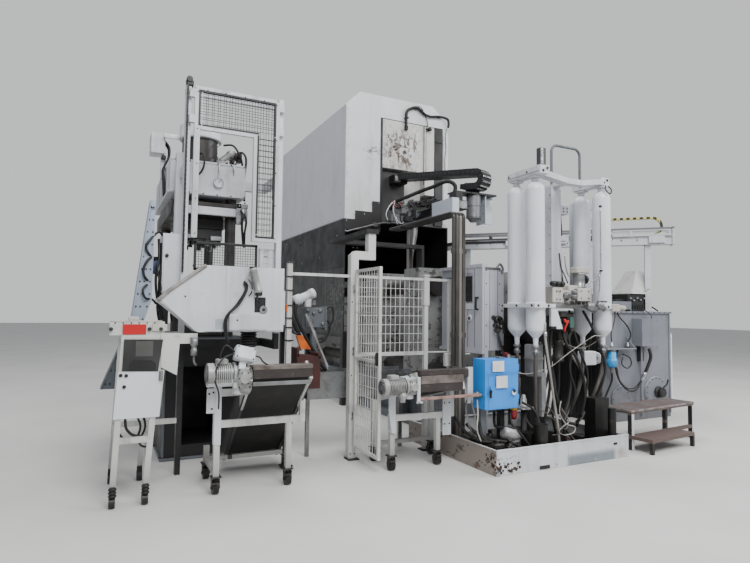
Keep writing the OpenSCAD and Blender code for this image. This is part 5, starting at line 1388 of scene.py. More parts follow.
part = Piece("guard_lock_slot", black, body="guard_door")
part.lathe((-704, -800, 1530), (-710, -800, 1530), [(0, 20), (6, 20)], 16)

part = Piece("guard_eye", steel)
ring = ((-434, 2088), (-444, 2150), (-400, 2200), (-356, 2150), (-366, 2088))
part.tube([(x, guard_front + 40, z) for x, z in ring], 15)
part.cyl((-392, guard_front + 20, 2110), (-392, guard_front + 70, 2110), 22, 14)

part = Piece("guard_bolts", oily)
for z in (1200, 1450, 1700, 1950, 2110):
    for x in (-640, -440):
        part.bolt((x, guard_front, z), FRONT, 8, 6)
for x, z in ((-540, 1545), (-500, 1500), (-450, 1530), (-520, 1450), (-470, 1420), (-430, 1480)):
    part.lathe((x, guard_front, z), (x, guard_front - 50, z), [(0, 26), (20, 26), (24, 16), (50, 16)], 12)

Piece("guard_pipes", pipe).hoses([
    (10, (-545, guard_front - 30, 1545), (-500, guard_front - 60, 1560), (-440, guard_front - 50, 1530),
     (-420, guard_front - 40, 1450), (-400, guard_front - 30, 1350)),
    (9, (-520, guard_front - 30, 1450), (-560, guard_front - 50, 1400), (-500, guard_front - 50, 1360),
     (-430, guard_front - 40, 1420)),
    (14, (-500, guard_front - 30, 1420), (-480, guard_front - 60, 1250), (-440, guard_front - 80, 1100),
     (-420, guard_front - 120, 900), (-440, guard_front - 160, 600), (-460, guard_front - 200, 300)),
])

part = Piece("under_block", cast_light)
part.lathe((-175, -1350, 1235), (-175, -1350, 860),
           [(0, 96), (8, 104), (150, 104), (154, 112), (172, 112), (176, 104), (350, 104), (375, 84)], 26)
part.box((-80, -1380, 380), (-6, -1320, 900), 5)


# Conveyors: motors, gears, boxes, bands, rails, sleeves and wheels
def motor(name, x0, x1, y, z, r):
    """Finned motor from its fan cover at x0 to its gear at x1."""
    part = Piece(name + "_core", steel, slot="white_paint")
    part.lathe((x0 + 40, y, z), (x1 - 30, y, z), [(0, r * 0.8), (x1 - x0 - 70, r * 0.8)], 28, False)
    part = Piece(name, alloy)
    part.lathe((x0, y, z), (x0 + 60, y, z), [(0, r * 0.8), (4, r), (54, r), (58, r * 0.9), (60, r * 0.6)],
               28, False)
    part.lathe((x1 - 56, y, z), (x1, y, z),
               [(0, r * 0.6), (4, r * 1.02), (24, r * 1.02), (28, r * 0.72), (56, r * 0.7)], 28, False)
    for u in range(int(x0) + 68, int(x1) - 62, 17):
        part.lathe((u, y, z), (u + 7, y, z), [(0, r * 0.7), (0, r), (7, r), (7, r * 0.7)], 28, False)
    part.box((x0 + 75, y - 48, z + r - 12), (x0 + 170, y + 48, z + r + 34), 8)
    part = Piece(name + "_fan", dark)
    part.lathe((x0 + 1, y, z), (x0 - 3, y, z), [(0, r * 0.76), (4, r * 0.74)], 24)
    part = Piece(name + "_grille", steel)
    for k in range(1, 5):
        reach = r * 0.18 * k
        ring = [(x0 - 6, y + reach * c, z + reach * s) for c, s in circle(24)]
        part.tube(ring + ring[:1], 2.6, 5, True, 0)
    for k in range(4):
        part.box((-2, -2, -r * 0.78), (2, 2, r * 0.78), 0, place((x0 - 6, y, z), (45 * k, "X")))
    part.lathe((x0 - 4, y, z), (x0 - 9, y, z), [(0, r * 0.16), (5, r * 0.14)], 14)


motor("left_motor", -3956, -3690, -1560, 1055, 92)
motor("right_motor", -2310, -2010, -1580, 862, 84)

part = Piece("left_gear", alloy)
part.box((-3710, -1650, 930), (-3600, -1500, 1110), 14)
part.lathe((-3640, -1560, 960), (-3640, -1600, 880), [(0, 60), (30, 66), (60, 60), (89, 40)], 20)
part.lathe((-3655, -1650, 1020), (-3655, -1690, 1020), [(0, 62), (12, 62), (16, 44), (40, 40)], 24)
part.cyl((-3620, -1560, 1000), (-3572, -1560, 1000), 60, 24)

part = Piece("right_gear", alloy)
part.box((-2030, -1640, 780), (-1935, -1500, 940), 14)
part.lathe((-1985, -1640, 862), (-1985, -1676, 862), [(0, 58), (12, 58), (16, 40), (36, 36)], 24)
part.lathe((-2090, -1610, 800), (-2110, -1640, 720), [(0, 40), (40, 44), (60, 30), (88, 26)], 16)

part = Piece("gear_bolts", oily)
for centre in ((-3655, -1662, 1020), (-1985, -1652, 862)):
    part.bolt_circle(centre, 51, 6, FRONT, 7, 6)
for x, z in ((-3700, 945), (-3700, 1095), (-3612, 945), (-3612, 1095)):
    part.bolt((x, -1650, z), FRONT, 8, 7)

tilt = place((-3650, -1600, 1218), (13, "Y"), (-24, "X"))

part = Piece("drive_box", white)
part.box((-88, -38, -62), (88, 42, 62), 8, tilt)
part.box((-78, -44, -52), (78, -38, 52), 4, tilt)
part.box((-30, 10, -140), (30, 40, -55), 4, tilt)

part = Piece("drive_box_screws", dark)
for sx in (-1, 1):
    for sz in (-1, 1):
        a, b = (tilt @ Vector((sx * 70, y, sz * 44)) for y in (-43, -48))
        part.cyl(a, b, 7, 10, 1)

Piece("drive_cables", dark, slot="black_plastic").hoses([
    (7, (-3735, -1600, 1240), (-3790, -1610, 1290), (-3820, -1600, 1290), (-3850, -1590, 1220),
     (-3850, -1570, 1160)),
    (7, (-3560, -1590, 1200), (-3520, -1600, 1190), (-3490, -1610, 1150), (-3440, -1600, 1118)),
    (7, (-3740, -1600, 1225), (-3850, -1640, 1180), (-3905, -1640, 1040), (-3860, -1600, 900),
     (-3850, -1560, 760)),
    (6, (-2150, -1560, 960), (-2140, -1600, 1000), (-2060, -1610, 1000), (-1990, -1600, 940)),
])

part = Piece("head_bands", cleat)
part.box((-3590, -1650, 1106), (-3045, -1530, 1122), 4)
part.box((-3588, -1662, 1085), (-3048, -1648, 1122), 3)
part.box((-1915, -1662, 885), (-1400, -1650, 966), 4)

part = Piece("head_dark", band_brown)
part.box((-3586, -1660, 1008), (-3052, -1650, 1086), 4)
part.box((-1920, -1655, 966), (-1395, -1560, 1022), 4)
part.box((-1912, -1658, 805), (-1406, -1648, 886), 4)
part.box((-1400, -1655, 930), (-1330, -1400, 1020), 8)

part = Piece("head_bar", steel)
part.box((-3590, -1672, 950), (-3068, -1656, 984), 3)
for x in (-3575, -3330, -3090):
    part.bolt((x, -1672, 967), FRONT, 8, 6)

incline = place((-3335, -1560, 1030), (-42, "X"))

part = Piece("side_rails", dark)
for s in (-1, 1):
    x = 290 * s
    part.box((min(x, x - 12 * s), -62, 60), (max(x, x - 12 * s), 1300, 98), 3, incline)
    part.box((min(x, x - 12 * s), 40, -98), (max(x, x - 12 * s), 1300, -80), 3, incline)

part = Piece("end_plate", white)
part.box((-1318, -1610, 655), (-1246, -1596, 1030), 3)
part.box((-1318, -1610, 655), (-1310, -1560, 1030), 3)

part = Piece("leg_sleeves", white)
for x, y, z0, z1 in ((-3826, -1380, 420, 930), (-2090, -1380, 380, 560)):
    part.box((x - 31, y - 31, z0), (x + 31, y + 31, z1), 4)
part.box((-3925, -1420, 700), (-3856, -1408, 915), 4)
part.loft([
    [(-2150, -1440, 770), (-2075, -1440, 765), (-2075, -1424, 765), (-2150, -1424, 770)],
    [(-2150, -1444, 600), (-2080, -1444, 595), (-2080, -1428, 595), (-2150, -1428, 600)],
    [(-2132, -1440, 470), (-2075, -1440, 460), (-2075, -1424, 460), (-2132, -1424, 470)],
    [(-2112, -1430, 380), (-2068, -1430, 375), (-2068, -1414, 375), (-2112, -1414, 380)],
])
part.box((-1955, -1664, 700), (-1920, -1644, 958), 4)
part.box((-1958, -1664, 700), (-1890, -1640, 716), 3)
part.box((-1490, -1412, 300), (-1385, -1400, 690), 5)

part = Piece("plate_holes", black)
for x, z in ((-3905, 870), (-3880, 740), (-3870, 880)):
    part.cyl((x, -1420, z), (x, -1424, z), 9, 12, 1)
for x, z in ((-1470, 640), (-1410, 640), (-1470, 420), (-1410, 420)):
    part.cyl((x, -1412, z), (x, -1416, z), 9, 12, 1)

part = Piece("pink_bar", primer_bar)
part.box((-1930, -1660, 726), (-1200, -1640, 756), 4)

CONVEYOR_WHEELS = []
for middle, left, inner, back in ((-3335, -491, 158, -900), (-1656, -434, 113, -980)):
    CONVEYOR_WHEELS += [(middle + left, -1380), (middle + inner, -1380)]
    CONVEYOR_WHEELS += [(middle + left, back), (middle + 287, back)]

part = Piece("casters", rubber)
for x, y in CONVEYOR_WHEELS:
    part.lathe((x - 20, y, 58), (x + 20, y, 58), [(0, 50), (5, 57), (35, 57), (40, 50)], 24)
for x, y in [(x, y) for y in (-1377, -677) for x in (-4637.5, -4392.5)]:
    part.lathe((x - 24, y, 48), (x + 24, y, 48), [(0, 42), (5, 47), (43, 47), (48, 42)], 22)

part = Piece("caster_forks", oily)
for x, y in CONVEYOR_WHEELS:
    part.cyl((x - 42, y, 58), (x + 42, y, 58), 13, 12)
    part.box((x - 46, y - 46, 140), (x + 46, y + 46, 152), 3)
    part.cyl((x, y, 118), (x, y, 142), 30, 16)
    part.box((x - 44, y - 70, 96), (x + 20, y - 52, 106), 3)

# Stand: feet, knobs, latch, hoses and hanging fitting
part = Piece("stand_knobs", black)
for x, z in ((-4607, 1056), (-4566, 1052), (-4578, 962)):
    part.lathe((x, -1412, z), (x, -1424, z), [(0, 14), (10, 14), (12, 10)], 16)
part.hoses([
    (11, (-4560, -1360, 705), (-4550, -1370, 620), (-4500, -1360, 560), (-4440, -1340, 545)),
    (9, (-4470, -1340, 705), (-4440, -1330, 620), (-4470, -1320, 520), (-4540, -1300, 500),
     (-4600, -1260, 560)),
    (9, (-4420, -1300, 705), (-4400, -1290, 600), (-4440, -1260, 480), (-4400, -1200, 420),
     (-4300, -1100, 400)),
])

part = Piece("stand_feet", rubber)
for x in (-4637, -4392):
    for k in range(3):
        part.lathe((x, -1421, 88 + 26 * k), (x, -1421, 114 + 26 * k), [(0, 24), (13, 33), (26, 24)], 18)

part = Piece("stand_latch", steel)
part.box((-4318, -1424, 1000), (-4286, -1411, 1085), 4)
part.cyl((-4302, -1436, 1010), (-4302, -1436, 1075), 9, 12)
part.lathe((-4043, -1420, 1352), (-4043, -1420, 1200),
           [(0, 16), (10, 30), (60, 32), (66, 22), (90, 22), (96, 28), (150, 26)], 18)
part.tube([(-4043, -1420, 1202), (-4040, -1420, 1150), (-4020, -1410, 1120)], 9)
part.box((-4075, -1442, 1340), (-4016, -1398, 1362), 5)

part = Piece("stand_top", cream)
part.box((-4695, -1384, 1488), (-4300, -1268, 1498), 3)
part.box((-4380, -1395, 1412), (-4260, -1384, 1470), 4)
part.box((-4560, -1330, 1496), (-4480, -1280, 1530), 6)

part = Piece("stand_rolls", oily)
for x in (-4690, -4400, -4310):
    part.cyl((x, -1402, 1430), (x, -1380, 1430), 16, 14)
for x in range(-4660, -4300, 60):
    part.bolt((x, -1382, 1480), FRONT, 6, 5)

part = Piece("stand_pane", pane_grey)
outline = ((-4591, 1347), (-4292, 1343), (-4325, 1078), (-4598, 1088))
part.loft([[(x, y, z) for x, z in outline] for y in (-1411, -1416)])

part = Piece("stand_screen", screen_grey)
part.box((-4503, -1419, 1205), (-4369, -1415, 1330), 2)

part = Piece("stand_tray", black)
outline = ((-4548, 1090), (-4545, 1150), (-4515, 1178), (-4375, 1172), (-4340, 1140), (-4345, 1088))
part.loft([[(x, y, z) for x, z in outline] for y in (-1414, -1420)])

part = Piece("stand_dark", dark)
part.box((-4600, -1330, 1090), (-4310, -1310, 1335), 6)
part.box((-4570, -1345, 1090), (-4350, -1330, 1190), 14)

# Fence and gate: hinges, latch, rings, boxes and rails
part = Piece("post_rings", black)
for z in (1947, 1804, 1647, 1514, 1417, 1282):
    part.box((-3038, -837, z), (-2964, -761, z + 12), 0)

part = Piece("fence_caps", dark)
for x, z0, z1 in ((-3010, 2097, 2108), (-1340, 2010, 2018), (-990, 2010, 2018)):
    part.box((x - 38, -838, z0), (x + 38, -762, z1), 3)
for x in (-3010, -1340, -990):
    part.box((x - 60, -860, 0), (x + 60, -740, 14), 3)

part = Piece("fence_bars", fence_white)
part.box((-1340, -818, 1120), (-1010, -790, 1136), 3)
part.box((-960, -818, 1088), (-430, -800, 1104), 3)
part.box((-1086, -858, 955), (-927, -800, 1114), 6)

part = Piece("fence_box_knobs", black)
for z in (1080, 1010):
    part.lathe((-1000, -858, z), (-1000, -872, z), [(0, 15), (12, 15), (14, 11)], 16)
part.tube([(-960, -850, 958), (-950, -860, 860), (-980, -850, 740), (-1000, -830, 560)], 8)

part = Piece("fence_signal", orange)
part.box((-3052, -842, 1585), (-3036, -800, 1660), 4)

part = Piece("gate_hinges", steel)
for z in (420, 1120, 1800):
    part.cyl((-2280, -866, z), (-2280, -866, z + 90), 15, 14)
    part.box((-2300, -872, z + 10), (-2262, -850, z + 26), 2)
    part.box((-2300, -872, z + 64), (-2262, -850, z + 80), 2)

part = Piece("gate_latch", black, body="gate")
part.box((-2302, -1470, 1060), (-2290, -1420, 1190), 5)
part.cyl((-2310, -1446, 1070), (-2310, -1446, 1180), 10, 12)

part = Piece("duct_bolts", oily)
for z in (60, 900, 1700, 2300):
    for x in (-2305, -2255):
        part.bolt((x, -845, z), FRONT, 8, 6)
part.box((-2345, -900, 0), (-2215, -755, 12), 3)

# Spray arm, valve box and bin behind the fence opening
part = Piece("inner_cylinder", white)
part.lathe((-2800, -300, 1700), (-2545, -300, 1810),
           [(0, 40), (8, 62), (90, 62), (96, 50), (210, 50), (216, 60), (268, 60), (278, 44)], 22)
part.box((-2660, -330, 1640), (-2590, -270, 1740), 8)

part = Piece("inner_box", grey)
part.box((-2655, -320, 1400), (-2400, -180, 1636), 8)
part.box((-2420, -330, 1370), (-2395, -170, 1650), 6)
part.box((-2560, -270, 900), (-2500, -210, 1402), 4)
part.box((-2640, -270, 900), (-2440, -210, 935), 4)

part = Piece("inner_bits", steel)
for x, z in ((-2630, 1600), (-2560, 1570), (-2480, 1600), (-2600, 1480), (-2450, 1450)):
    part.lathe((x, -320, z), (x, -345, z), [(0, 20), (18, 20), (24, 12)], 14)
part.box((-2590, -345, 1660), (-2540, -310, 1720), 5)
part.box((-2790, -450, 1150), (-2740, -420, 1200), 4)

part = Piece("inner_orange", orange)
part.loft([
    [(-2815, -480, 1320), (-2745, -480, 1322), (-2745, -440, 1322), (-2815, -440, 1320)],
    [(-2760, -480, 1170), (-2640, -480, 1168), (-2640, -440, 1168), (-2760, -440, 1170)],
])

part = Piece("inner_bin", red_brown)
part.loft([
    [(-2860, -700, 760), (-2610, -700, 760), (-2610, -420, 760), (-2860, -420, 760)],
    [(-2880, -700, 1130), (-2610, -700, 1100), (-2610, -420, 1100), (-2880, -420, 1130)],
])
part.box((-2880, -700, 1100), (-2850, -420, 1200), 6)
part.box((-2640, -700, 1080), (-2605, -420, 1140), 6)

Piece("inner_hoses", rubber).hoses([
    (24, (-2800, -310, 1690), (-2850, -320, 1600), (-2800, -340, 1450), (-2700, -360, 1250),
     (-2600, -400, 1090), (-2520, -440, 930)),
    (20, (-2770, -330, 1680), (-2790, -350, 1560), (-2700, -370, 1350), (-2600, -390, 1180),
     (-2500, -420, 1000), (-2440, -440, 920)),
    (14, (-2820, -330, 1640), (-2880, -360, 1500), (-2860, -400, 1380), (-2780, -440, 1330)),
    (12, (-2400, -240, 1500), (-2340, -260, 1460), (-2350, -280, 1350), (-2420, -300, 1250),
     (-2500, -330, 1230)),
    (11, (-2400, -220, 1600), (-2300, -240, 1650), (-2290, -260, 1500), (-2360, -300, 1400)),
])

part = Piece("inner_rod", steel)
part.cyl((-2690, -420, 1560), (-2430, -470, 960), 14, 12)
part.cyl((-2660, -430, 1540), (-2430, -470, 930), 9, 12)

# Wall cabinet: blank plates, handle, lock, seam, fittings
part = Piece("cabinet_plates", blank_plate, body="cabinet_leaf")
part.box((-1078, -1723, 982), (-927, -1719, 1094), 1)
part.box((-1029, -1723, 810), (-880, -1719, 936), 1)
part.lathe((-794, -1719, 752), (-794, -1728, 752), [(0, 27), (6, 27), (9, 22)], 24)

part = Piece("cabinet_seams", seam_blue, body="cabinet_leaf")
part.box((-1155, -1723, 962), (-702, -1719, 968), 1)
part.box((-1132, -1723, 600), (-1127, -1719, 962), 1)
part.tube([(-1155, -1721, 592), (-702, -1721, 592)], 3, 6)

part = Piece("cabinet_handle", black, body="cabinet_leaf")
part.box((-1122, -1742, 712), (-1098, -1719, 800), 6)
part.box((-1117, -1752, 770), (-1103, -1722, 796), 4)
part.lathe((-794, -1724, 772), (-794, -1734, 772), [(0, 18), (8, 18), (10, 14)], 18)

part = Piece("cabinet_fittings", steel)
for y, z in ((-1640, 735), (-1590, 745), (-1560, 715)):
    part.lathe((-1160, y, z), (-1235, y, z - 8),
               [(0, 20), (10, 24), (26, 24), (30, 16), (52, 16), (56, 21), (75, 17)], 14)
part.tube([
    (-1230, -1640, 728), (-1280, -1650, 715), (-1300, -1660, 660), (-1260, -1650, 560), (-1200, -1620, 400),
    (-1150, -1600, 250),
], 8)
part.tube([
    (-1230, -1590, 738), (-1300, -1590, 700), (-1330, -1600, 600), (-1290, -1600, 430), (-1180, -1560, 260),
    (-1100, -1500, 180),
], 9)
part.box((-920, -1640, 1106), (-850, -1560, 1126), 5)
part.cyl((-760, -1600, 1108), (-760, -1600, 1150), 18, 14)

part = Piece("cabinet_post", grey)
part.box((-1128, -1600, 245), (-1062, -1540, 590), 6)
part.box((-1150, -1620, 236), (-1040, -1520, 250), 4)

part = Piece("warning_lamp", lamp_red)
part.box((-765, -1560, 1110), (-717, -1510, 1165), 8)
part.lathe((-735, -1645, 560), (-735, -1645, 455), [(0, 30), (8, 36), (80, 36), (105, 24)], 18)

part = Piece("plug_cap", plug_yellow)
part.lathe((-735, -1645, 588), (-735, -1645, 556), [(0, 22), (6, 38), (32, 38)], 18)

# Drip tray: pumps, hoses, rim, pocket and spilled oil
part = Piece("tray_rim", tray_paint)
for a, b in (
        ((-1264, -2005, 236), (625, -1985, 249)), ((-1264, -1990, 236), (-1244, -300, 249)),
        ((605, -1990, 236), (625, -300, 249))):
    part.box(a, b, 3)
part.box((-300, -2004, 40), (-290, -1999, 240), 1)

part = Piece("tray_pocket", black)
part.box((-700, -2004, 4), (-560, -1996, 42), 2)
part.box((380, -2003, 150), (440, -1998, 176), 4)

part = Piece("tray_sludge", sludge)
part.loft([[(x, y, z) for x in (-1240, 600) for y in ((-1980, -320) if x < 0 else (-320, -1980))]
           for z in (14, 30)])

draw = random.Random(3)

part = Piece("crust", crust)
for i in range(34):
    x, z, r = -1252 + 300 * draw.random() ** 1.4, 30 + 90 * draw.random() ** 1.5, 5 + 13 * draw.random()
    part.lathe((x, -1998, z), (x, -2006, z), [(0, r), (4, r * 0.9), (7, r * 0.4)], 7)
for i in range(26):
    y, z, r = -1990 + 260 * draw.random() ** 1.4, 60 + 140 * draw.random(), 5 + 12 * draw.random()
    part.lathe((-1258, y, z), (-1266, y, z), [(0, r), (4, r * 0.9), (7, r * 0.4)], 7)

part = Piece("tray_pumps", alloy, slot="machine_grey")
part.lathe((-980, -1760, 360), (-760, -1800, 300),
           [(0, 44), (10, 66), (50, 70), (130, 70), (140, 56), (180, 50), (190, 30), (228, 24)], 22)
part.lathe((-545, -1590, 565), (-545, -1590, 703),
           [(0, 54), (16, 54), (20, 36), (90, 34), (96, 26), (125, 24), (138, 10)], 20)
part.box((-900, -1820, 250), (-800, -1730, 320), 8)
part.box((-615, -1660, 541), (-445, -1530, 567), 6)

part = Piece("pump_stem", dark)
part.cyl((-535, -1590, 150), (-535, -1590, 545), 26, 14)

part = Piece("tray_blocks", oily)
for x, y, z, a, b, h in (
        (-1180, -1900, 200, 120, 90, 80), (-1050, -1940, 190, 90, 70, 70), (-1220, -1500, 190, 90, 160, 90),
        (-960, -1500, 30, 160, 160, 230), (-640, -1930, 30, 130, 110, 120),
        (-420, -1600, 30, 200, 160, 160), (20, -1500, 30, 180, 160, 190), (-300, -1900, 30, 90, 90, 70),
        (420, -1500, 30, 120, 160, 110)):
    part.box((x, y, z), (x + a, y + b, z + h), 9)
for x, y in ((-1130, -1860), (-1010, -1910), (-900, -1450), (-560, -1880), (-340, -1540)):
    part.lathe((x, y, 250), (x, y, 320), [(0, 30), (20, 30), (24, 20), (50, 20), (54, 26), (70, 22)], 14)

Piece("tray_hoses", rubber).hoses([
    (17, (-1255, -1500, 420), (-1200, -1600, 340), (-1150, -1750, 300), (-1050, -1850, 290),
     (-930, -1880, 262), (-800, -1860, 200)),
    (15, (-1310, -1300, 520), (-1255, -1500, 330), (-1200, -1720, 275), (-1080, -1800, 285),
     (-960, -1780, 240)),
    (19, (-1100, -1500, 480), (-1150, -1600, 380), (-1180, -1700, 300), (-1100, -1800, 250),
     (-960, -1830, 150)),
    (16, (-880, -1500, 520), (-960, -1600, 430), (-1000, -1700, 400), (-920, -1790, 410),
     (-820, -1800, 380)),
    (14, (-700, -1500, 700), (-780, -1640, 520), (-840, -1740, 430), (-800, -1850, 330),
     (-700, -1880, 180)),
    (13, (-620, -1650, 630), (-540, -1740, 560), (-520, -1800, 430), (-600, -1850, 300),
     (-560, -1880, 120)),
    (18, (120, -1500, 420), (60, -1640, 260), (100, -1780, 120), (260, -1850, 60), (420, -1800, 50),
     (520, -1600, 50)),
])

Piece("pale_hoses", hose_pale).hoses([
    (13, (-478, -1850, 1500), (-470, -1850, 1315), (-421, -1850, 1045), (-351, -1850, 667),
     (-290, -1850, 330), (-262, -1850, 36)),
    (14, (-40, -1500, 1330), (60, -1500, 1260), (200, -1500, 1232), (300, -1500, 1097), (420, -1500, 930),
     (500, -1500, 790), (545, -1480, 600), (520, -1450, 420)),
    (5, (-690, -1650, 955), (-560, -1650, 934), (-430, -1660, 950), (-290, -1740, 1010),
     (-111, -1850, 1178), (229, -1850, 1340), (330, -1840, 1352), (470, -1800, 1345)),
    (6, (-200, -1800, 640), (-250, -1830, 520), (-180, -1850, 400), (-60, -1860, 360), (-90, -1870, 300),
     (-240, -1880, 290), (-300, -1870, 340), (-170, -1880, 420)),
    (7, (-1262, -1700, 700), (-1290, -1750, 560), (-1330, -1790, 420), (-1300, -1800, 330),
     (-1275, -1780, 300)),
])

part = Piece("hose_ferrules", bright)
part.lathe((300, -1500, 1100), (340, -1500, 1040), [(0, 17), (8, 21), (60, 21), (70, 17)], 14)
part.lathe((-474, -1850, 1400), (-468, -1850, 1350), [(0, 18), (50, 18)], 14)

# Tank: covers, shelf, filter, pump, cables, unit on its lid and hoses
tank_front = front_of("oil_tank")

part = Piece("tank_cover", tank_grey)
part.lathe((3006, tank_front + 4, 404), (3006, tank_front - 26, 404),
           [(0, 248), (14, 248), (18, 232), (30, 228)], 44)
part.lathe((2227, tank_front + 4, 340), (2227, tank_front - 20, 340), [(0, 190), (14, 190), (24, 182)], 40)
part.box((1780, -750, 1086), (2380, tank_front + 2, 1100), 3)
for x in (1790, 2355):
    part.loft([
        [(x, tank_front + 2, 1100), (x + 12, tank_front + 2, 1100), (x + 12, tank_front + 2, 1290),
         (x, tank_front + 2, 1290)],
        [(x, -740, 1100), (x + 12, -740, 1100), (x + 12, -740, 1106), (x, -740, 1106)],
    ])
part.box((1800, tank_front - 14, 60), (1840, tank_front + 2, 1610), 3)
part.box((3352, tank_front - 14, 60), (3384, tank_front + 2, 1610), 3)

part = Piece("tank_bolts", oily)
part.bolt_circle((3006, tank_front - 24, 404), 212, 16, FRONT, 10, 9)
part.bolt_circle((2227, tank_front - 18, 340), 168, 12, FRONT, 9, 8)
for x in range(1870, 3360, 124):
    part.bolt((x, -596, 1636), FRONT, 8, 7)
for x, z in ((2530, 1500), (2840, 1500), (2530, 1110), (2840, 1110)):
    part.bolt((x, -750, z), FRONT, 7, 6)

part = Piece("tank_valve", dark)
part.lathe((3050, tank_front - 26, 400), (3050, tank_front - 120, 400),
           [(0, 90), (20, 90), (26, 60), (60, 60), (66, 74), (94, 70)], 24)
part.box((3000, -700, 330), (3080, -600, 420), 10)
part.tube([(3080, -660, 470), (3140, -680, 520), (3160, -690, 600)], 12)
part.box((2600, -640, 890), (2680, -575, 1110), 8)
part.tube([(2690, -720, 1080), (2740, -710, 960), (2700, -690, 820), (2660, -660, 700)], 24)

part = Piece("tank_connector", bright)
part.lathe((2668, -665, 720), (2600, -650, 600),
           [(0, 26), (10, 34), (60, 34), (66, 24), (100, 24), (138, 18)], 18)
part.lathe((2320, -640, 1110), (2320, -640, 1190), [(0, 24), (30, 24), (34, 16), (80, 14)], 16)
part.lathe((1920, -690, 1120), (1920, -690, 1200), [(0, 24), (30, 24), (34, 16), (80, 14)], 16)

Piece("tank_cables", black).hoses([
    (12, (2600, -650, 600), (2480, -660, 480), (2280, -680, 470), (2080, -690, 620), (2010, -680, 820),
     (2060, -650, 1000), (2140, -620, 1080)),
    (9, (2590, -640, 590), (2440, -650, 500), (2260, -660, 510), (2110, -660, 640), (2070, -650, 820)),
    (10, (2320, -640, 1185), (2380, -650, 1300), (2300, -640, 1440), (2200, -600, 1560),
     (2160, -590, 1640)),
    (8, (1920, -690, 1195), (1900, -700, 1330), (1980, -680, 1460), (2080, -620, 1560), (2100, -600, 1660)),
    (9, (2200, -640, 1010), (2330, -660, 960), (2370, -660, 860), (2280, -660, 800), (2180, -650, 860),
     (2210, -640, 960)),
    (14, (1960, -640, 780), (1990, -630, 640), (1920, -610, 470), (1850, -600, 330)),
    (7, (2700, -600, 1700), (2740, -720, 1600), (2720, -740, 1545)),
    (9, (1780, -560, 1300), (1700, -520, 1250), (1680, -500, 1150), (1640, -520, 1062)),
])

part = Piece("filter_bowl", blue_glass)
part.lathe((1920, -690, 1062), (1920, -690, 830),
           [(0, 40), (14, 62), (100, 62), (106, 74), (210, 74), (232, 50)], 26)

part = Piece("filter_end", steel)
part.lathe((1920, -690, 834), (1920, -690, 740), [(0, 40), (30, 34), (50, 26), (94, 16)], 18)
part.lathe((1920, -690, 1090), (1920, -690, 1056), [(0, 52), (34, 52)], 24)

part = Piece("pump_box", white)
part.box((1430, -640, 866), (1670, -500, 1064), 10)
part.lathe((1730, -570, 960), (1790, -570, 960), [(0, 74), (6, 86), (22, 86), (30, 70), (60, 40)], 26)
part.box((1640, -645, 1000), (1660, -636, 1050), 3)

part = Piece("pump_shaft", oily)
part.cyl((1665, -570, 960), (1735, -570, 960), 34, 18)
part.cyl((1785, -570, 960), (1825, -560, 960), 40, 18)
part.box((1700, -560, 930), (1824, -470, 945), 3)
part.cyl((1812, -598, 60), (1812, -598, 900), 12, 12)
part.lathe((1812, -598, 60), (1812, -598, 0), [(0, 14), (20, 30), (60, 34)], 16)

part = Piece("tank_side_pipe", white)
part.cyl((3402, -575, 240), (3402, -575, 1300), 15, 12)
for z in (300, 700, 1150):
    part.box((3380, -585, z), (3416, -560, z + 16), 3)
part.cyl((3402, -575, 1300), (3402, -500, 1330), 14, 12)

part = Piece("lid_unit", dark)
part.box((2900, -200, 1650), (3340, 160, 1940), 12)
for x in range(2930, 3320, 60):
    part.box((x, -214, 1690), (x + 22, -198, 1760), 4)
part.box((2700, -120, 1780), (2904, 60, 1850), 8)

part = Piece("lid_hood", stand_white)
levels = ((2950, 3420, -230, 190, 1940), (2955, 3416, -226, 186, 1956), (3190, 3400, -120, 80, 2330))
part.loft([[(x0, y0, z), (x1, y0, z), (x1, y1, z), (x0, y1, z)] for x0, x1, y0, y1, z in levels])
part.tube([
    (3260, -228, 1990), (3265, -262, 2020), (3300, -262, 2035), (3335, -262, 2020), (3340, -228, 1990),
], 9)

part = Piece("lid_bits", bright)
for x, z in ((2940, 1860), (3010, 1830), (3090, 1870), (3170, 1840), (3260, 1870)):
    part.lathe((x, -200, z), (x, -232, z), [(0, 20), (20, 20), (26, 12), (32, 12)], 12)

Piece("lid_hoses", black).hoses([
    (16, (2920, -60, 1700), (2640, -60, 1720), (2560, -200, 1690), (2500, -400, 1670), (2480, -560, 1665)),
    (14, (2900, 60, 1860), (2600, 80, 1960), (2380, 40, 1930), (2250, -40, 1790), (2200, -60, 1700)),
    (12, (3330, 40, 1800), (3380, -60, 1800), (3380, -240, 1740), (3310, -420, 1665)),
    (11, (2220, 200, 1700), (2150, 260, 1850), (2000, 300, 1990), (1900, 420, 2180)),
])

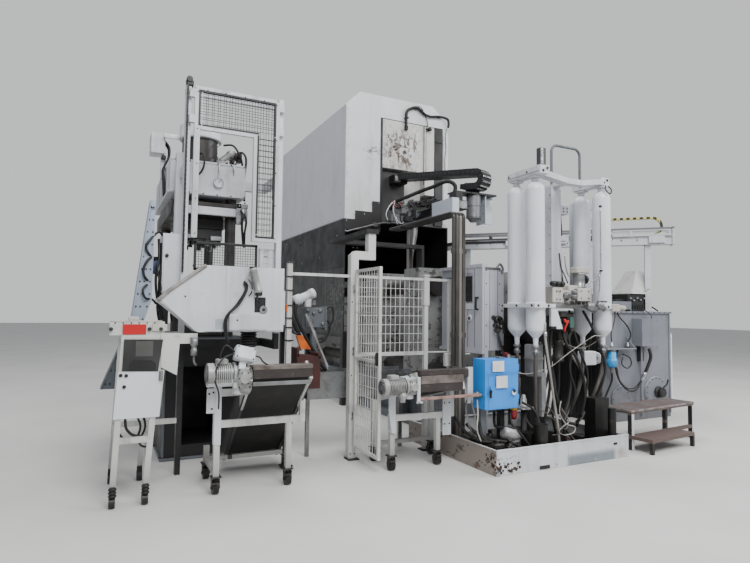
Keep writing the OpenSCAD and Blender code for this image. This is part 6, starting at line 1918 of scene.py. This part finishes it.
part = Piece("tank_ribs", tank_grey)
for y in (-420, -110, 220):
    part.box((1808, y, 60), (1822, y + 30, 1600), 3)
part.box((1806, -560, 60), (1822, 370, 90), 3)
part.box((2700, 372, 60), (2730, 386, 1600), 3)

Piece("tank_left_hoses", rubber).hoses([
    (26, (1825, -100, 1300), (1700, -120, 1280), (1600, -180, 1100), (1560, -240, 800), (1500, -300, 500),
     (1300, -400, 200), (1000, -500, 60)),
    (22, (1825, 60, 1180), (1680, 40, 1150), (1560, -20, 950), (1500, -80, 650), (1380, -160, 350),
     (1100, -240, 80)),
    (20, (1825, 200, 1000), (1650, 180, 960), (1500, 120, 760), (1360, 60, 480), (1150, 0, 200),
     (980, -60, 90)),
])

# Gantry: bolts, rails and plates; then the edges of the steps
beam = place((1110, 2060, 2760), (-45.5, "Z"))

part = Piece("gantry_bolts", oily)
for u in range(150, 3500, 240):
    part.bolt(beam @ Vector((u, -122, 75)), beam.to_3x3() @ Vector(FRONT), 11, 9)

part = Piece("gantry_rail", steel)
part.box((20, -130, 120), (3540, -118, 138), 3, beam)
part.box((20, -14, 150), (3540, 14, 168), 3, beam)

part = Piece("gantry_plate", white)
part.box((3200, -150, 18), (3440, -118, 132), 6, beam)
part.box((2500, -146, 30), (2640, -118, 120), 5, beam)
part.box((900, -146, 30), (1010, -118, 120), 5, beam)

part = Piece("column_bolts", oily)
for u, z in ((3150, 1900), (3150, 2740)):
    c = beam @ Vector((u, 0, 0))
    for sx in (-1, 1):
        part.bolt((c.x + 60 * sx, c.y - 48, z), FRONT, 9, 8)

tread = place((892, -1828, 0), (5.7, "Z"))

part = Piece("step_edges", tread_edge)
part.box((-3, -5, 440), (1373, 3, 464), 2, tread)
part.box((-4, -3, 440), (3, 404, 464), 2, tread)
part.box((1368, -3, 440), (1375, 404, 464), 2, tread)

part = Piece("step_front", white)
part.box((1, -6, 0), (46, -1, 420), 2, tread)
part.box((1325, -6, 0), (1369, -1, 420), 2, tread)

for piece in PIECES:
    piece.build()
